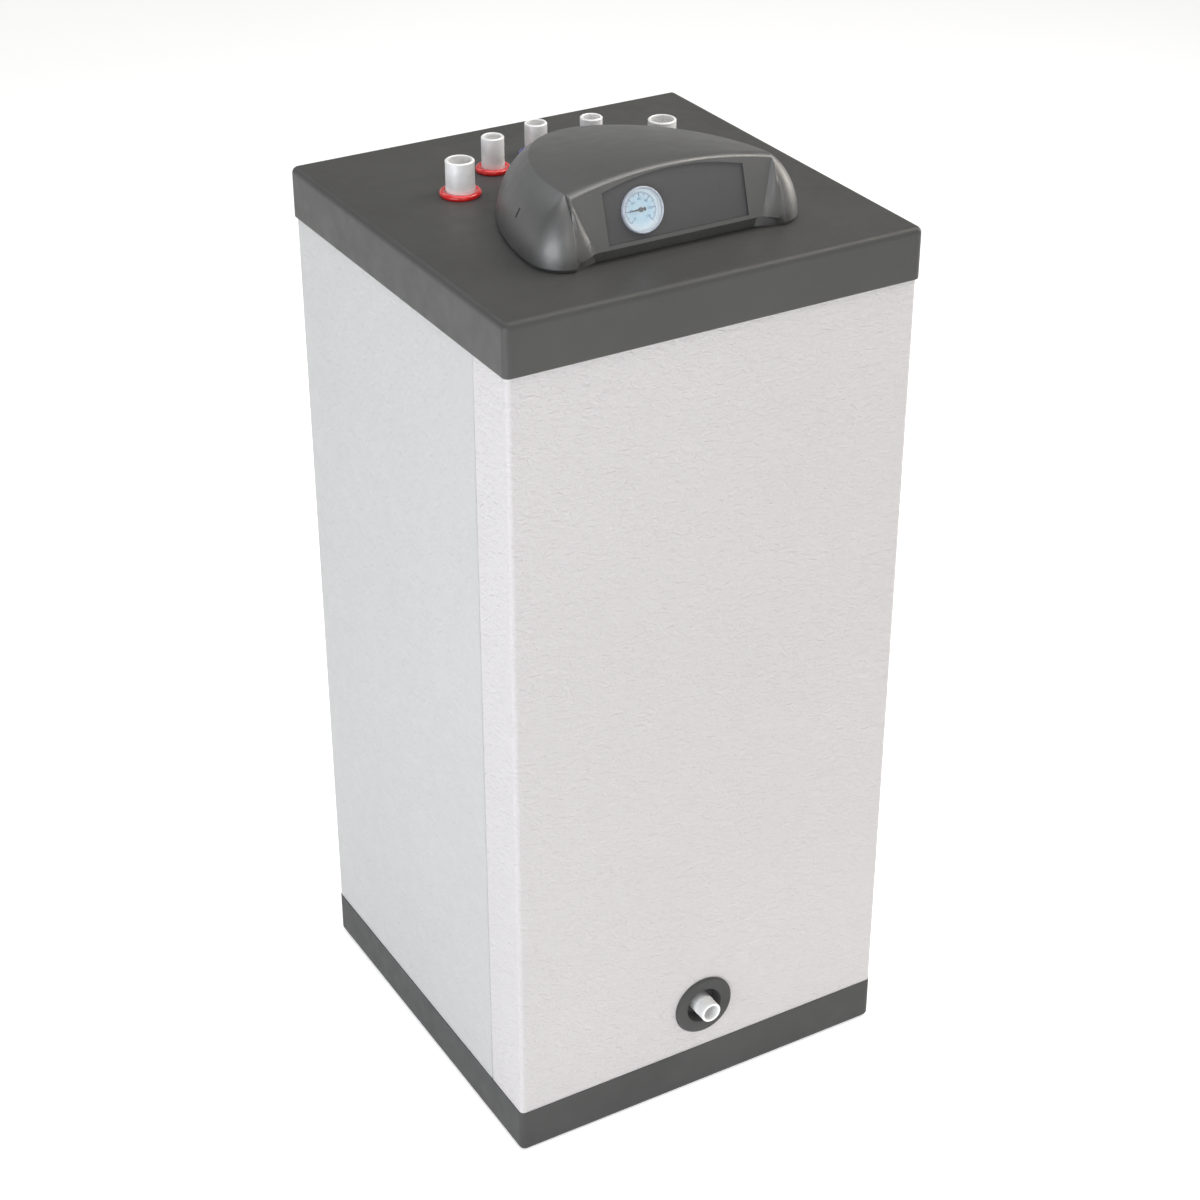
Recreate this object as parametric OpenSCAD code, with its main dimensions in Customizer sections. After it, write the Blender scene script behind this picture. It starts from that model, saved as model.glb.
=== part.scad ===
// Floor-standing tank water heater in a square casing, with an indirect heating coil.
// +Z is up, the front (console face and drain) looks along -Y, and the origin is the
// middle of the base tray's underside, on the tank's axis.

/* [Casing] */
// Width and depth of the top cover
width = 520; // [500:1:640]
// Height of the top cover above the floor
height = 1100; // [900:1:1400]
// Height of the top cover's skirt
cover_h = 61; // [45:1:90]
// Height of the base tray
base_h = 60; // [52:1:80]
// How far the cover stands out from the casing sheets
overhang = 3; // [2:0.5:6]
// How far the base tray stands out from the casing sheets
base_step = 1; // [1:0.5:4]
// Radius of the cover's and the base tray's edges
edge_r = 8; // [6:0.5:10]
// Thickness of the casing sheets
sheet = 1; // [0.6:0.1:1.5]
// Depth of the front panel's returns along the sides
return_d = 75; // [40:1:120]
// Wall of the plastic cover
cover_t = 3; // [2:0.5:4]

/* [Tank] */
// Outer diameter of the vessel
tank_d = 430; // [380:1:440]
// Wall of the vessel
tank_t = 2.5; // [2:0.5:4]
// Height of each dished end
dish_h = 85; // [70:1:110]
// Space from the floor to the vessel, and from the vessel to the cover's top
end_gap = 75; // [72:1:110]
// Outer diameter of the coil's tube
coil_d = 26.9; // [21:0.1:28]
// Space between the coil and the vessel's wall
coil_gap = 24; // [15:1:40]
// Whole turns of the coil
coil_turns = 8; // [5:1:9]

/* [Connections] */
// Outer diameter of the two heating connections
heat_d = 33.25; // [30:0.05:36]
// Outer diameter of the three water connections and the drain
water_d = 26.44; // [24:0.05:28]
// Wall of every connection
stub_t = 3.2; // [2.5:0.1:4]
// Height of the connections above the cover
stub_h = 41; // [38:1:70]
// Length of the thread on a top connection
thread_l = 30; // [20:1:32]
// Length of the thread on the drain
drain_thread_l = 15; // [10:1:20]
// Radius of the circle of heating connections
heat_r = 154; // [150:0.5:158]
// Radius of the circle of water connections
water_r = 143; // [141:0.5:145]
// Angle from the rear to a heating connection
heat_angle = 59; // [57:0.5:62]
// Angle from the rear to a water connection
water_angle = 27; // [25:0.5:30]
// Height of the drain's axis above the floor
drain_z = 124; // [112:1:140]
// How far the drain stands out from the front
drain_out = 20; // [15:1:40]
// Outer diameter of the drain's rosette
rosette_d = 80; // [68:1:90]

/* [Console] */
// Half width of the console's top face
console_top_x = 126; // [120:1:130]
// Half width of the console at the cover
console_foot_x = 165; // [160:1:168]
// Height of the console's front corners
console_corner_h = 75; // [70:1:85]
// Rise of the arched front edge above its corners
console_arch = 13.5; // [10:0.5:16]
// Wall of the console
console_t = 2.5; // [2:0.5:3]
// Width of the recessed fascia plate
plate_w = 175; // [165:1:180]
// Outer diameter of the thermometer
gauge_d = 50; // [46:1:54]

/* [Feet] */
// Diameter of a levelling foot's pad
pad_d = 40; // [30:1:44]
// Diameter of a levelling foot's screw
screw_d = 10; // [8:1:12]
// Distance of a foot from the middle, along X and along Y
foot_xy = 200; // [190:1:204]

/* [Hidden] */
$fn = 96;

fit = 0.1; // radial clearance of a fixed piece in its hole
run = 0.05; // radial clearance of a piece that turns or slides
foam_gap = 0.4; // clearance between the foam and everything it surrounds
casing_w = width - 2 * overhang;
tray_w = casing_w + 2 * base_step;
cover_z = height - cover_h;
shoulder_z = 42; // the casing sheets stand on this ledge of the base tray
tray_floor = 4;
tray_wall = 5;
sheet_top = height - 10;
casing_r = 6; // outer radius of the casing's folded corners
hem = 8; // depth of the fold along each edge at the seam
seam_gap = 1.5;
seam_y = return_d - casing_w / 2;
foam_top = height - 50;

tank_r = tank_d / 2;
shell_z0 = end_gap + dish_h;
shell_z1 = height - end_gap - dish_h;
stand_r = 150;
stand_t = 3;

neck_r = 70;
neck_t = 5;
flange_r = 90;
ring_z = height - 46; // underside of the flange ring
ring_h = 12;
gasket_h = 3;
plate_h = 8;
plate_z = ring_z + ring_h + gasket_h;
plate_top = plate_z + plate_h;
bolt_circle_r = 80;
bolt_d = 8;
head_r = 7.5; // corners of a bolt's head or nut
head_h = 5.3;
nut_h = 6.5;
anode_xy = [35, 25];
anode_r = 11;
anode_l = 480;
well_xy = [-35, 20];
well_r = 7;
well_z = height - 460;
access_r = 94; // hole in the cover, above the flange

pipe_over = 0.225; // a pipe's radius beyond the crest of the thread cut on its end
heat_pipe_r = heat_d / 2 + pipe_over;
water_pipe_r = water_d / 2 + pipe_over;
water_bore = water_d / 2 - stub_t;
coil_r = tank_r - tank_t - coil_gap - coil_d / 2; // mean radius of the turns
heat_xy = [heat_r * sin(heat_angle), heat_r * cos(heat_angle)];
water_xy = [water_r * sin(water_angle), water_r * cos(water_angle)];
cold_xy = [0, water_r];
stub_top = height + stub_h;
ring_section = 3.5; // half thickness of a coloured ring
// Inner end of the drain, just inside the bottom end's wall
drain_y0 = 5 - tank_r * sqrt(1 - pow((shell_z0 - drain_z) / dish_h, 2));
drain_y1 = -casing_w / 2 - drain_out;
cup_r = 24; // mouth of the rosette's recess
cup_depth = 12;
cup_back = 2.5; // wall behind the recess
rosette_rim = 3.5; // radius of the rosette's rounded rim
cup_hole_r = cup_r + 4; // opening behind the rosette

plate_tilt = 16.3; // lean of the console's front from the vertical
front_y = -175; // front plane of the console where its lower edge is
front_z = 14;
console_y = -147; // top edge of the console's front
foot_y = -140; // widest line of the console
foot_front = 41; // from that line to the front of its rounded ends
top_back = 224;
foot_back = 244;
top_power = 1.79; // how square the top face's outline is, 2 being an ellipse
foot_power = 1.85;
crown_fall = 0.0745; // the top face's slope and curve towards the rear
crown_sag = 0.000362;
front_taper = 0.17; // how much the front narrows from its top to its lower edge
plate_high_z = 84; // top of the fascia's opening, above the cover

corner_feet = [[-1, -1], [1, -1], [1, 1], [-1, 1]];
pad_h = 10;
foot_recess = 12;
recess_r = pad_d / 2 + 5; // wall of the pad's recess
boss_r = screw_d / 2 + 7; // wall round the screw
boss_h = 40;
foot_stem_top = 50;

// ---- shared shapes ----

// Square with rounded corners, centred
module rounded_square(w, r) {
    square([w - 2 * r, w], center = true);
    square([w, w - 2 * r], center = true);
    for (sx = [-1, 1], sy = [-1, 1]) translate([sx * (w / 2 - r), sy * (w / 2 - r)]) circle(r);
}

module prism(w, r, z0, z1) {
    translate([0, 0, z0]) linear_extrude(z1 - z0) rounded_square(w, r);
}

module tube(r_out, r_in, z0, z1) {
    translate([0, 0, z0]) difference() {
        cylinder(h = z1 - z0, r = r_out);
        translate([0, 0, -1]) cylinder(h = z1 - z0 + 2, r = r_in);
    }
}

// Upright cylinder between two heights
module rod(r, z0, z1) {
    translate([0, 0, z0]) cylinder(h = z1 - z0, r = r);
}

// Slab with its top edges and corners rounded to r, its top at z1
module pillow_top(w, r, z0, z1) {
    prism(w, r, z0, z1 - r);
    translate([0, 0, z1 - r]) linear_extrude(r) square(w - 2 * r, center = true);
    for (a = [0:90:270]) rotate([0, 0, a]) {
        translate([w / 2 - r, 0, z1 - r]) rotate([90, 0, 0])
            cylinder(h = w - 2 * r, r = r, center = true);
        translate([w / 2 - r, w / 2 - r, z1 - r]) sphere(r);
    }
}

// Points of a half dish from its rim to its crown
function dish(r, h, n = 14) = [for (i = [0:n]) [r * cos(90 * i / n), h * sin(90 * i / n)]];

module dished_end() {
    outer = dish(tank_r, dish_h);
    inner = dish(tank_r - tank_t, dish_h - tank_t);
    rotate_extrude() polygon(concat(outer, [for (i = [len(inner) - 1:-1:0]) inner[i]]));
}

module dish_solid() {
    rotate_extrude() polygon(concat([[0, 0]], dish(tank_r + foam_gap, dish_h + foam_gap)));
}

// The foam's cavity round the whole vessel
module vessel_cavity() {
    rod(tank_r + foam_gap, shell_z0, shell_z1);
    translate([0, 0, shell_z1]) dish_solid();
    translate([0, 0, shell_z0]) mirror([0, 0, 1]) dish_solid();
}

module at_each_foot() {
    for (c = corner_feet) translate([c[0] * foot_xy, c[1] * foot_xy, 0]) children();
}

// Every connection's place on the cover with its outer radius
connections = [
    [-heat_xy[0], heat_xy[1], heat_pipe_r],
    [-water_xy[0], water_xy[1], water_pipe_r],
    [cold_xy[0], cold_xy[1], water_pipe_r],
    [water_xy[0], water_xy[1], water_pipe_r],
    [heat_xy[0], heat_xy[1], heat_pipe_r],
];

// Holes along every top connection, wider than it by gap
module connection_holes(z0, z1, gap = fit) {
    for (c = connections) translate([c[0], c[1], 0]) rod(c[2] + gap, z0, z1);
}

// Height of the vessel's top end at radius r
function top_end_z(r) = shell_z1 + lookup(r, dish(tank_r, dish_h));

// ---- tube swept along a list of points ----

function unit(v) = v / norm(v);
function tangent(p, i) = unit(p[min(i + 1, len(p) - 1)] - p[max(i - 1, 0)]);
function carried(n, t) = unit(n - (n * t) * t);
function frames(p, n0) = [
    for (i = 0, n = carried(n0, tangent(p, 0)); i < len(p);
         i = i + 1, n = i < len(p) ? carried(n, tangent(p, i)) : n) n
];

// r is one radius, or one for each point; a bore above 0 makes it a pipe
module sweep(p, r, n0, sides = 10, bore = 0) {
    normals = frames(p, n0);
    n = len(p);
    function radius(i) = is_list(r) ? r[i] : r;
    function ring(i, size) = [for (k = [0:sides - 1])
        let (t = tangent(p, i), a = 360 * k / sides)
        p[i] + size * (cos(a) * normals[i] + sin(a) * cross(t, normals[i]))];
    outside = [for (i = [0:n - 1]) each ring(i, radius(i))];
    inside = bore > 0 ? [for (i = [0:n - 1]) each ring(i, bore)] : [];
    walls = [for (i = [0:n - 2], k = [0:sides - 1])
             let (a = i * sides, m = (k + 1) % sides) [a + sides + k, a + sides + m, a + m, a + k]];
    lining = bore > 0 ? [for (w = walls) [for (j = [3:-1:0]) w[j] + n * sides]] : [];
    last = (n - 1) * sides;
    ends = bore > 0
        ? [for (k = [0:sides - 1]) let (m = (k + 1) % sides, q = n * sides)
           each [[k, m, q + m, q + k], [last + m, last + k, q + last + k, q + last + m]]]
        : [[for (k = [0:sides - 1]) k], [for (k = [sides - 1:-1:0]) last + k]];
    polyhedron(concat(outside, inside), concat(walls, lining, ends), convexity = 8);
}

// ---- casing ----

module base_tray() color([0.30, 0.30, 0.29]) difference() {
    translate([0, 0, base_h]) mirror([0, 0, 1]) pillow_top(tray_w, edge_r, 0, base_h);
    difference() {
        union() {
            prism(tray_w - 2 * tray_wall, edge_r - 2, tray_floor, shoulder_z);
            prism(casing_w + 2 * fit, casing_r + fit, shoulder_z, base_h + 1);
        }
        at_each_foot() rod(recess_r, 0, foot_recess + 3);
        at_each_foot() rod(boss_r, 0, boss_h);
    }
    at_each_foot() {
        rod(pad_d / 2 + 2, -1, foot_recess);
        rod(screw_d / 2 + run, 0, boss_h + 1);
    }
}

module tank_stand() color([0.35, 0.36, 0.38])
    tube(stand_r, stand_r - stand_t, tray_floor,
         shell_z0 - lookup(stand_r - stand_t, dish(tank_r, dish_h)));

module insulation_foam() color([0.93, 0.86, 0.62]) difference() {
    union() {
        prism(tray_w - 2 * tray_wall - 2 * foam_gap, edge_r - 2, tray_floor, shoulder_z);
        prism(casing_w - 2 * sheet - 2 * foam_gap, casing_r - sheet, shoulder_z, foam_top);
    }
    vessel_cavity();
    rod(stand_r + foam_gap, 0, shell_z0);
    at_each_foot() rod(recess_r + foam_gap, 0, foot_recess + 3 + foam_gap);
    at_each_foot() rod(boss_r + foam_gap, 0, foot_stem_top + 6);
    connection_holes(shell_z1, height, foam_gap);
    rod(neck_r + foam_gap, shell_z1, height);
    translate([0, drain_y0, drain_z]) rotate([90, 0, 0])
        cylinder(h = width, r = water_pipe_r + foam_gap);
    translate([0, -casing_w / 2 + cup_depth + 4, drain_z]) rotate([90, 0, 0])
        cylinder(h = width, r = cup_hole_r);
    for (side = [-1, 1]) translate([side * casing_w / 2, seam_y, (shoulder_z + foam_top) / 2])
        cube([2 * (sheet + hem + foam_gap), 2 * (sheet + foam_gap) + seam_gap,
              foam_top - shoulder_z + 2], center = true);
}

// Outline of the casing sheets, in plan
module casing_line() difference() {
    rounded_square(casing_w, casing_r);
    rounded_square(casing_w - 2 * sheet, casing_r - sheet);
}

// Folds inward at the seam, on the side of it that dir names
module seam_hems(dir) {
    for (side = [-1, 1])
        translate([side * (casing_w / 2 - (sheet + hem) / 2),
                   seam_y + dir * (seam_gap + sheet) / 2])
            square([sheet + hem, sheet], center = true);
}

module front_panel() color([0.84, 0.83, 0.83]) difference() {
    translate([0, 0, shoulder_z]) linear_extrude(sheet_top - shoulder_z) union() {
        intersection() {
            casing_line();
            translate([0, seam_y - seam_gap / 2 - casing_w / 2]) square([width, casing_w], center = true);
        }
        seam_hems(-1);
    }
    translate([0, 0, drain_z]) rotate([90, 0, 0]) cylinder(h = width, r = cup_hole_r);
}

module side_back_panel() color([0.82, 0.82, 0.82])
    translate([0, 0, shoulder_z]) linear_extrude(sheet_top - shoulder_z) union() {
        intersection() {
            casing_line();
            translate([0, seam_y + seam_gap / 2 + width / 2]) square([width, width], center = true);
        }
        seam_hems(1);
    }

module top_cover() color([0.34, 0.34, 0.33]) difference() {
    pillow_top(width, edge_r, cover_z, height);
    prism(casing_w + 2 * fit, casing_r + fit, cover_z - 1, sheet_top);
    prism(casing_w - 8, casing_r - 2, sheet_top - 1, height - cover_t);
    for (c = connections) translate([c[0], c[1], 0]) rod(c[2] + 2, cover_z, height + 1);
    rod(access_r, cover_z, height + 1);
    at_bracket_screws() rod(screw_r + fit, cover_z, height + 1);
}

// ---- vessel ----

module tank_shell() color([0.22, 0.30, 0.45]) tube(tank_r, tank_r - tank_t, shell_z0, shell_z1);

module tank_top_end() color([0.22, 0.30, 0.45]) difference() {
    translate([0, 0, shell_z1]) dished_end();
    connection_holes(shell_z1, height);
    rod(neck_r + fit, shell_z1, height);
}

module tank_bottom_end() color([0.22, 0.30, 0.45]) difference() {
    translate([0, 0, shell_z0]) mirror([0, 0, 1]) dished_end();
    translate([0, 0, drain_z]) rotate([90, 0, 0]) cylinder(h = width, r = water_pipe_r + fit);
}

// Ends a weld's height below the ring's face
module flange_neck() color([0.25, 0.27, 0.30])
    tube(neck_r, neck_r - neck_t, top_end_z(neck_r) - 6, ring_z + ring_h - 1);

// Places of the flange bolts
module at_bolts() {
    for (a = [22.5:45:359]) rotate([0, 0, a]) translate([bolt_circle_r, 0, 0]) children();
}

module flange_ring() color([0.25, 0.27, 0.30]) difference() {
    tube(flange_r, neck_r + fit, ring_z, ring_z + ring_h);
    at_bolts() rod(bolt_d / 2 + fit, 0, height);
}

module flange_gasket() color([0.12, 0.12, 0.12]) difference() {
    tube(flange_r - 2, neck_r - neck_t, ring_z + ring_h, plate_z);
    at_bolts() rod(bolt_d / 2 + fit, 0, height);
}

module flange_plate() color([0.62, 0.63, 0.65]) difference() {
    rod(flange_r, plate_z, plate_top);
    at_bolts() rod(bolt_d / 2 + fit, 0, height);
    translate(anode_xy) rod(bolt_d / 2 + fit, 0, height);
    translate(well_xy) rod(well_r + fit, 0, height);
}

module flange_bolts() color([0.70, 0.70, 0.68]) at_bolts() {
    rod(bolt_d / 2, ring_z + 1, plate_top);
    translate([0, 0, plate_top]) cylinder(h = head_h, r = head_r, $fn = 6);
}

module anode_rod() color([0.72, 0.73, 0.72]) translate(anode_xy) {
    rod(anode_r, plate_z - anode_l, plate_z);
    rod(bolt_d / 2, plate_z, plate_top + 12);
}

module anode_nut() color([0.70, 0.70, 0.68]) translate(anode_xy)
    translate([0, 0, plate_top]) difference() {
        cylinder(h = nut_h, r = head_r, $fn = 6);
        translate([0, 0, -1]) cylinder(h = nut_h + 2, r = bolt_d / 2 + fit);
    }

module sensor_well() color([0.74, 0.60, 0.36]) translate(well_xy) difference() {
    union() {
        rod(well_r, well_z, plate_top);
        rod(well_r + 3, plate_top, plate_top + 8);
    }
    rod(well_r - 1, well_z + 2, height);
}

// The coil: down from the inlet, round, then up inside the turns to the outlet
coil_top_z = shell_z0 + 415;
coil_low_z = shell_z0 + 30;
bend_r = 32; // bends between the upright legs and the turns
bend_steps = 5;
turn_steps = 18;
coil_t = 2.3;
ease = 2; // steps over which the turns reach their full radius
inner_gap = 8; // space between the turns and what stands inside them
riser_r = coil_r - coil_d - inner_gap;
in_a = 90 + heat_angle;
out_a = 90 - heat_angle;
stub_foot_z = top_end_z(heat_r) - 24;
start_r = norm([heat_r, bend_r]);
start_a = in_a - atan(bend_r / heat_r);
end_r = norm([riser_r, bend_r]);
end_a = out_a + atan(bend_r / riser_r) - 360 * coil_turns;
turn_count = turn_steps * coil_turns + 5;
function around(r, a, z) = [r * cos(a), r * sin(a), z];
// Quarter bend at radius r and angle a between a leg at height z + bend_r and the turns
function bend(r, a, z, side) = [for (i = [0:bend_steps - 1]) let (t = 90 * i / bend_steps)
    around(r, a, z + bend_r * (1 - sin(t))) + side * bend_r * (1 - cos(t)) * [sin(a), -cos(a), 0]];
coil_points = [for (i = [0:turn_count])
    let (u = i / turn_count, entry = min(1, i / ease), leave = min(1, (turn_count - i) / ease))
    around(coil_r + (start_r - coil_r) * (1 - entry) + (end_r - coil_r) * (1 - leave),
           start_a + (end_a - start_a) * u, coil_top_z + (coil_low_z - coil_top_z) * u)];
out_bend = bend(riser_r, out_a, coil_low_z, -1);
outlet_leg = [
    around(riser_r, out_a, coil_top_z + 50), around(riser_r, out_a, coil_top_z + 62),
    around(heat_r, out_a, coil_top_z + 108), around(heat_r, out_a, coil_top_z + 120),
    around(heat_r, out_a, stub_foot_z),
];

module heating_coil() color([0.45, 0.46, 0.48])
    sweep(concat([around(heat_r, in_a, stub_foot_z)], bend(heat_r, in_a, coil_top_z, 1),
                 coil_points, [for (i = [bend_steps - 1:-1:0]) out_bend[i]], outlet_leg),
          coil_d / 2, [1, 0, 0], 8, coil_d / 2 - coil_t);

// ---- connections ----

// Connection pipe with a bore of radius b, and a thread of crest diameter d on its last part
module stub(d, b, z0, z1, thread) color([0.80, 0.80, 0.80]) {
    r = d / 2;
    end = z1 - z0;
    root = end - 1 - thread;
    translate([0, 0, z0]) rotate_extrude()
        polygon([[b, 0], [r + pipe_over, 0], [r + pipe_over, root], [r, root], [r, end - 1],
                 [r - 1, end], [b + 0.6, end], [b, end - 0.6]]);
}

// Its foot is closed down to the coil's bore, and the coil's tube is welded on under it
module heating_stub() {
    stub(heat_d, heat_d / 2 - stub_t, stub_foot_z, stub_top, thread_l);
    tube(heat_pipe_r - 1, coil_d / 2 - coil_t, stub_foot_z, stub_foot_z + 4);
}

module heating_inlet() translate([-heat_xy[0], heat_xy[1], 0]) heating_stub();
module heating_outlet() translate([heat_xy[0], heat_xy[1], 0]) heating_stub();

water_foot_z = top_end_z(water_r) - 20;

module water_stub() stub(water_d, water_bore, water_foot_z, stub_top, thread_l);

module hot_water_outlet() translate([-water_xy[0], water_xy[1], 0]) water_stub();
module cold_water_inlet() translate([cold_xy[0], cold_xy[1], 0]) water_stub();
module circulation_inlet() translate([water_xy[0], water_xy[1], 0]) water_stub();

// Plastic tubes held in the lower ends of two connections
inner_tube_r = water_bore - fit;
inner_tube_t = 1.5;
inner_tube_top = water_foot_z + 20;
dip_r = coil_r - coil_d / 2 - inner_gap - inner_tube_r; // keeps inside the coil's turns

// Reaches down past the coil to the bottom end
module cold_dip_tube() color([0.90, 0.90, 0.86])
    sweep([[0, water_r, inner_tube_top], [0, water_r, water_foot_z - 20],
           [0, water_r, coil_top_z + 140], [0, dip_r, coil_top_z + 60], [0, dip_r, shell_z0]],
          inner_tube_r, [1, 0, 0], 24, inner_tube_r - inner_tube_t);

module circulation_tube() color([0.90, 0.90, 0.86]) translate([water_xy[0], water_xy[1], 0])
    tube(inner_tube_r, inner_tube_r - inner_tube_t, (shell_z0 + shell_z1) / 2 + 60,
         inner_tube_top);

module drain_stub() translate([0, drain_y0, drain_z]) rotate([90, 0, 0])
    stub(water_d, water_bore, 0, drain_y0 - drain_y1, drain_thread_l);

// Flat rim, rounded outside, that turns into a cup round the drain
module drain_rosette() color([0.27, 0.27, 0.27]) {
    hole = water_pipe_r + fit;
    translate([0, -casing_w / 2, drain_z]) rotate([90, 0, 0]) rotate_extrude() difference() {
        union() {
            translate([hole, -cup_depth - cup_back])
                square([cup_r + rosette_rim - hole, cup_depth + cup_back]);
            translate([hole, 0]) square([rosette_d / 2 - rosette_rim - hole, rosette_rim]);
            intersection() {
                translate([rosette_d / 2 - rosette_rim, 0]) circle(rosette_rim);
                square([rosette_d, rosette_rim + 1]);
            }
        }
        polygon([[water_d / 2 - 1, -cup_depth], [cup_r - 4, -cup_depth], [cup_r, 4], [0, 4]]);
    }
}

// A round collar on the cover with a thin neck down through its hole
module coloured_ring(r) translate([0, 0, height]) rotate_extrude() {
    difference() {
        translate([r + fit + ring_section, ring_section - 1]) circle(ring_section);
        translate([0, -2 * ring_section]) square([2 * r, 2 * ring_section]);
        square([r + fit, 3 * ring_section]);
    }
    translate([r + fit, -cover_t]) square([1.6, cover_t + 1]);
}

module hot_rings() color([0.85, 0.10, 0.10]) for (i = [0, 1])
    translate([connections[i][0], connections[i][1], 0]) coloured_ring(connections[i][2]);

module cold_rings() color([0.25, 0.20, 0.75]) for (i = [2, 3, 4])
    translate([connections[i][0], connections[i][1], 0]) coloured_ring(connections[i][2]);

// ---- console ----

// Height of the console's top face above the cover
function crown(x, y) = console_corner_h + console_arch * (1 - pow(x / console_top_x, 2))
    - crown_fall * (y - console_y) - crown_sag * pow(y - console_y, 2);
// Point of a half egg, a wide and b deep, squarer as n grows
function egg(a, b, n, t) = [a * sign(cos(t)) * pow(abs(cos(t)), 2 / n), b * pow(sin(t), 2 / n)];

steps = 30; // columns along the rear edge, and along the front edge
ear_steps = 6;
rows = 9;
cap_rows = 6;
lean0 = 30; // slope of the skirt where it leaves the top edge
foot_set = -166; // front of the console's foot, behind the fascia
bevel_h = 3.5; // drop from the top front edge to the fascia's plane
bevel_y = -153;
ear_foot = [[129, -180], [128, -176.5], [118, -172], [107.7, -165.4]];
ear_count = ear_steps + len(ear_foot);
columns = 2 * steps + 2 * ear_count;

function bulge(k) = (sin(lean0 + (90 - lean0) * k / rows) - sin(lean0)) / (1 - sin(lean0));
function sink(k) = cos(lean0 + (90 - lean0) * k / rows) / cos(lean0);
function fascia_y(z) = front_y + (z - front_z) * tan(plate_tilt);
function flip(p, side) = [side * p[0], p[1], p[2]];

// Skirt point of the rear column i at row k, the surface drawn in by w
function rear_point(i, k, w) = let (
    t = 180 * i / steps,
    p = egg(console_top_x - w, top_back - 2 * w, top_power, t) + [0, console_y + w],
    q = egg(console_foot_x - w, foot_back - w, foot_power, t) + [0, foot_y],
    h = crown(p[0], p[1]) - w)
    [p[0] + (q[0] - p[0]) * bulge(k), p[1] + (q[1] - p[1]) * bulge(k), h * sink(k)];

// Foot of the ear's column i; inside, the ear is filled out behind its folds
function ear_line(i, w) = w > 0
    ? let (t = 90 * i / ear_count, x = ear_foot[3][0])
      [x - w + (console_foot_x - x) * cos(t), foot_y - (foot_y - foot_set - w) * sin(t)]
    : i <= ear_steps
    ? let (t = 90 * i / (ear_steps + 0.5), x = ear_foot[0][0])
      [x + (console_foot_x - x) * cos(t), foot_y - foot_front * sin(t)]
    : ear_foot[i - ear_steps - 1];

function ear_point(i, k, w, side) = let (
    p = [console_top_x - w, console_y + w], q = ear_line(i, w), h = console_corner_h - w,
    u = i <= ear_steps ? bulge(k) : (bulge(k) + 2 * (1 - sink(k))) / 3)
    flip([p[0] + (q[0] - p[0]) * u, p[1] + (q[1] - p[1]) * u, h * sink(k)], side);

// Front column i of row k: bevel, leaning fascia, then the set-back foot
function front_point(i, k, w) = let (
    x0 = (console_top_x - w) * (2 * i / steps - 1),
    top = crown(x0, console_y) - w,
    low = front_z + w,
    drop = w > 0 ? bevel_h / 3 : bevel_h,
    z = k == 0 ? top : k == 1 ? top - 0.25 * drop
        : k < rows - 1 ? top - drop - (top - drop - low) * (k - 2) / (rows - 4)
        : k == rows - 1 ? low - 0.5 : 0,
    lean = fascia_y(z) + w / cos(plate_tilt),
    y = k == 0 ? console_y + w : k == 1 ? bevel_y + w : k < rows - 1 ? lean : foot_set + w)
    [x0 * (1 - front_taper * (top - z) / (top - low + 0.01)), y, z];

function skin_point(c, k, w) = c <= steps ? rear_point(c, k, w)
    : c <= steps + ear_count ? ear_point(c - steps, k, w, -1)
    : c < 2 * steps + ear_count ? front_point(c - steps - ear_count, k, w)
    : ear_point(columns - c, k, w, 1);

// Index of column c's top point; every column of an ear shares the ear's tip
function top_index(c) = let (d = c % columns)
    d <= steps ? d : d <= steps + ear_count ? steps
    : d < 2 * steps + ear_count ? d - ear_count : 0;
function low_index(c, k) = 2 * steps + (k - 1) * columns + c % columns;
function cap_index(i, j) = j == 0 ? i : j == cap_rows ? 2 * steps - i
    : 2 * steps + rows * columns + (i - 1) * (cap_rows - 1) + j - 1;

// Points of the console's skin, drawn in by w
function skin_points(w) = [
    for (i = [0:steps]) rear_point(i, 0, w),
    for (i = [1:steps - 1]) front_point(i, 0, w),
    for (k = [1:rows], c = [0:columns - 1]) skin_point(c, k, w),
    for (i = [1:steps - 1], j = [1:cap_rows - 1]) let (
        r = rear_point(i, 0, w), f = front_point(steps - i, 0, w), p = r + (f - r) * j / cap_rows)
        [p[0], p[1], crown(p[0], p[1]) - w],
];
skin_faces = [
    for (c = [0:columns - 1]) let (a = top_index(c), b = top_index(c + 1))
        each concat(a == b ? [] : [[a, b, low_index(c + 1, 1)]],
                    [[a, low_index(c + 1, 1), low_index(c, 1)]]),
    for (k = [1:rows - 1], c = [0:columns - 1])
        each [[low_index(c, k), low_index(c + 1, k), low_index(c + 1, k + 1)],
              [low_index(c, k), low_index(c + 1, k + 1), low_index(c, k + 1)]],
    for (i = [1:steps - 2], j = [0:cap_rows - 1])
        each [[cap_index(i, j), cap_index(i, j + 1), cap_index(i + 1, j + 1)],
              [cap_index(i, j), cap_index(i + 1, j + 1), cap_index(i + 1, j)]],
    for (j = [0:cap_rows - 1])
        each [[0, cap_index(1, j + 1), cap_index(1, j)],
              [steps, cap_index(steps - 1, j), cap_index(steps - 1, j + 1)]],
];

// The console's skin as a shell, open underneath
module console_shell(wall) {
    outside = skin_points(0);
    n = len(outside);
    underside = [for (c = [0:columns - 1]) let (a = low_index(c, rows), b = low_index(c + 1, rows))
                 each [[a, b, b + n], [a, b + n, a + n]]];
    lining = [for (f = skin_faces) [f[2] + n, f[1] + n, f[0] + n]];
    polyhedron(concat(outside, skin_points(wall)), concat(skin_faces, lining, underside),
               convexity = 6);
}

// Places on the leaning front: x across, z above the cover, then +Z out of the front
module on_fascia(x, z) translate([x, fascia_y(z), height + z]) rotate([90 - plate_tilt, 0, 0])
    children();

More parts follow.
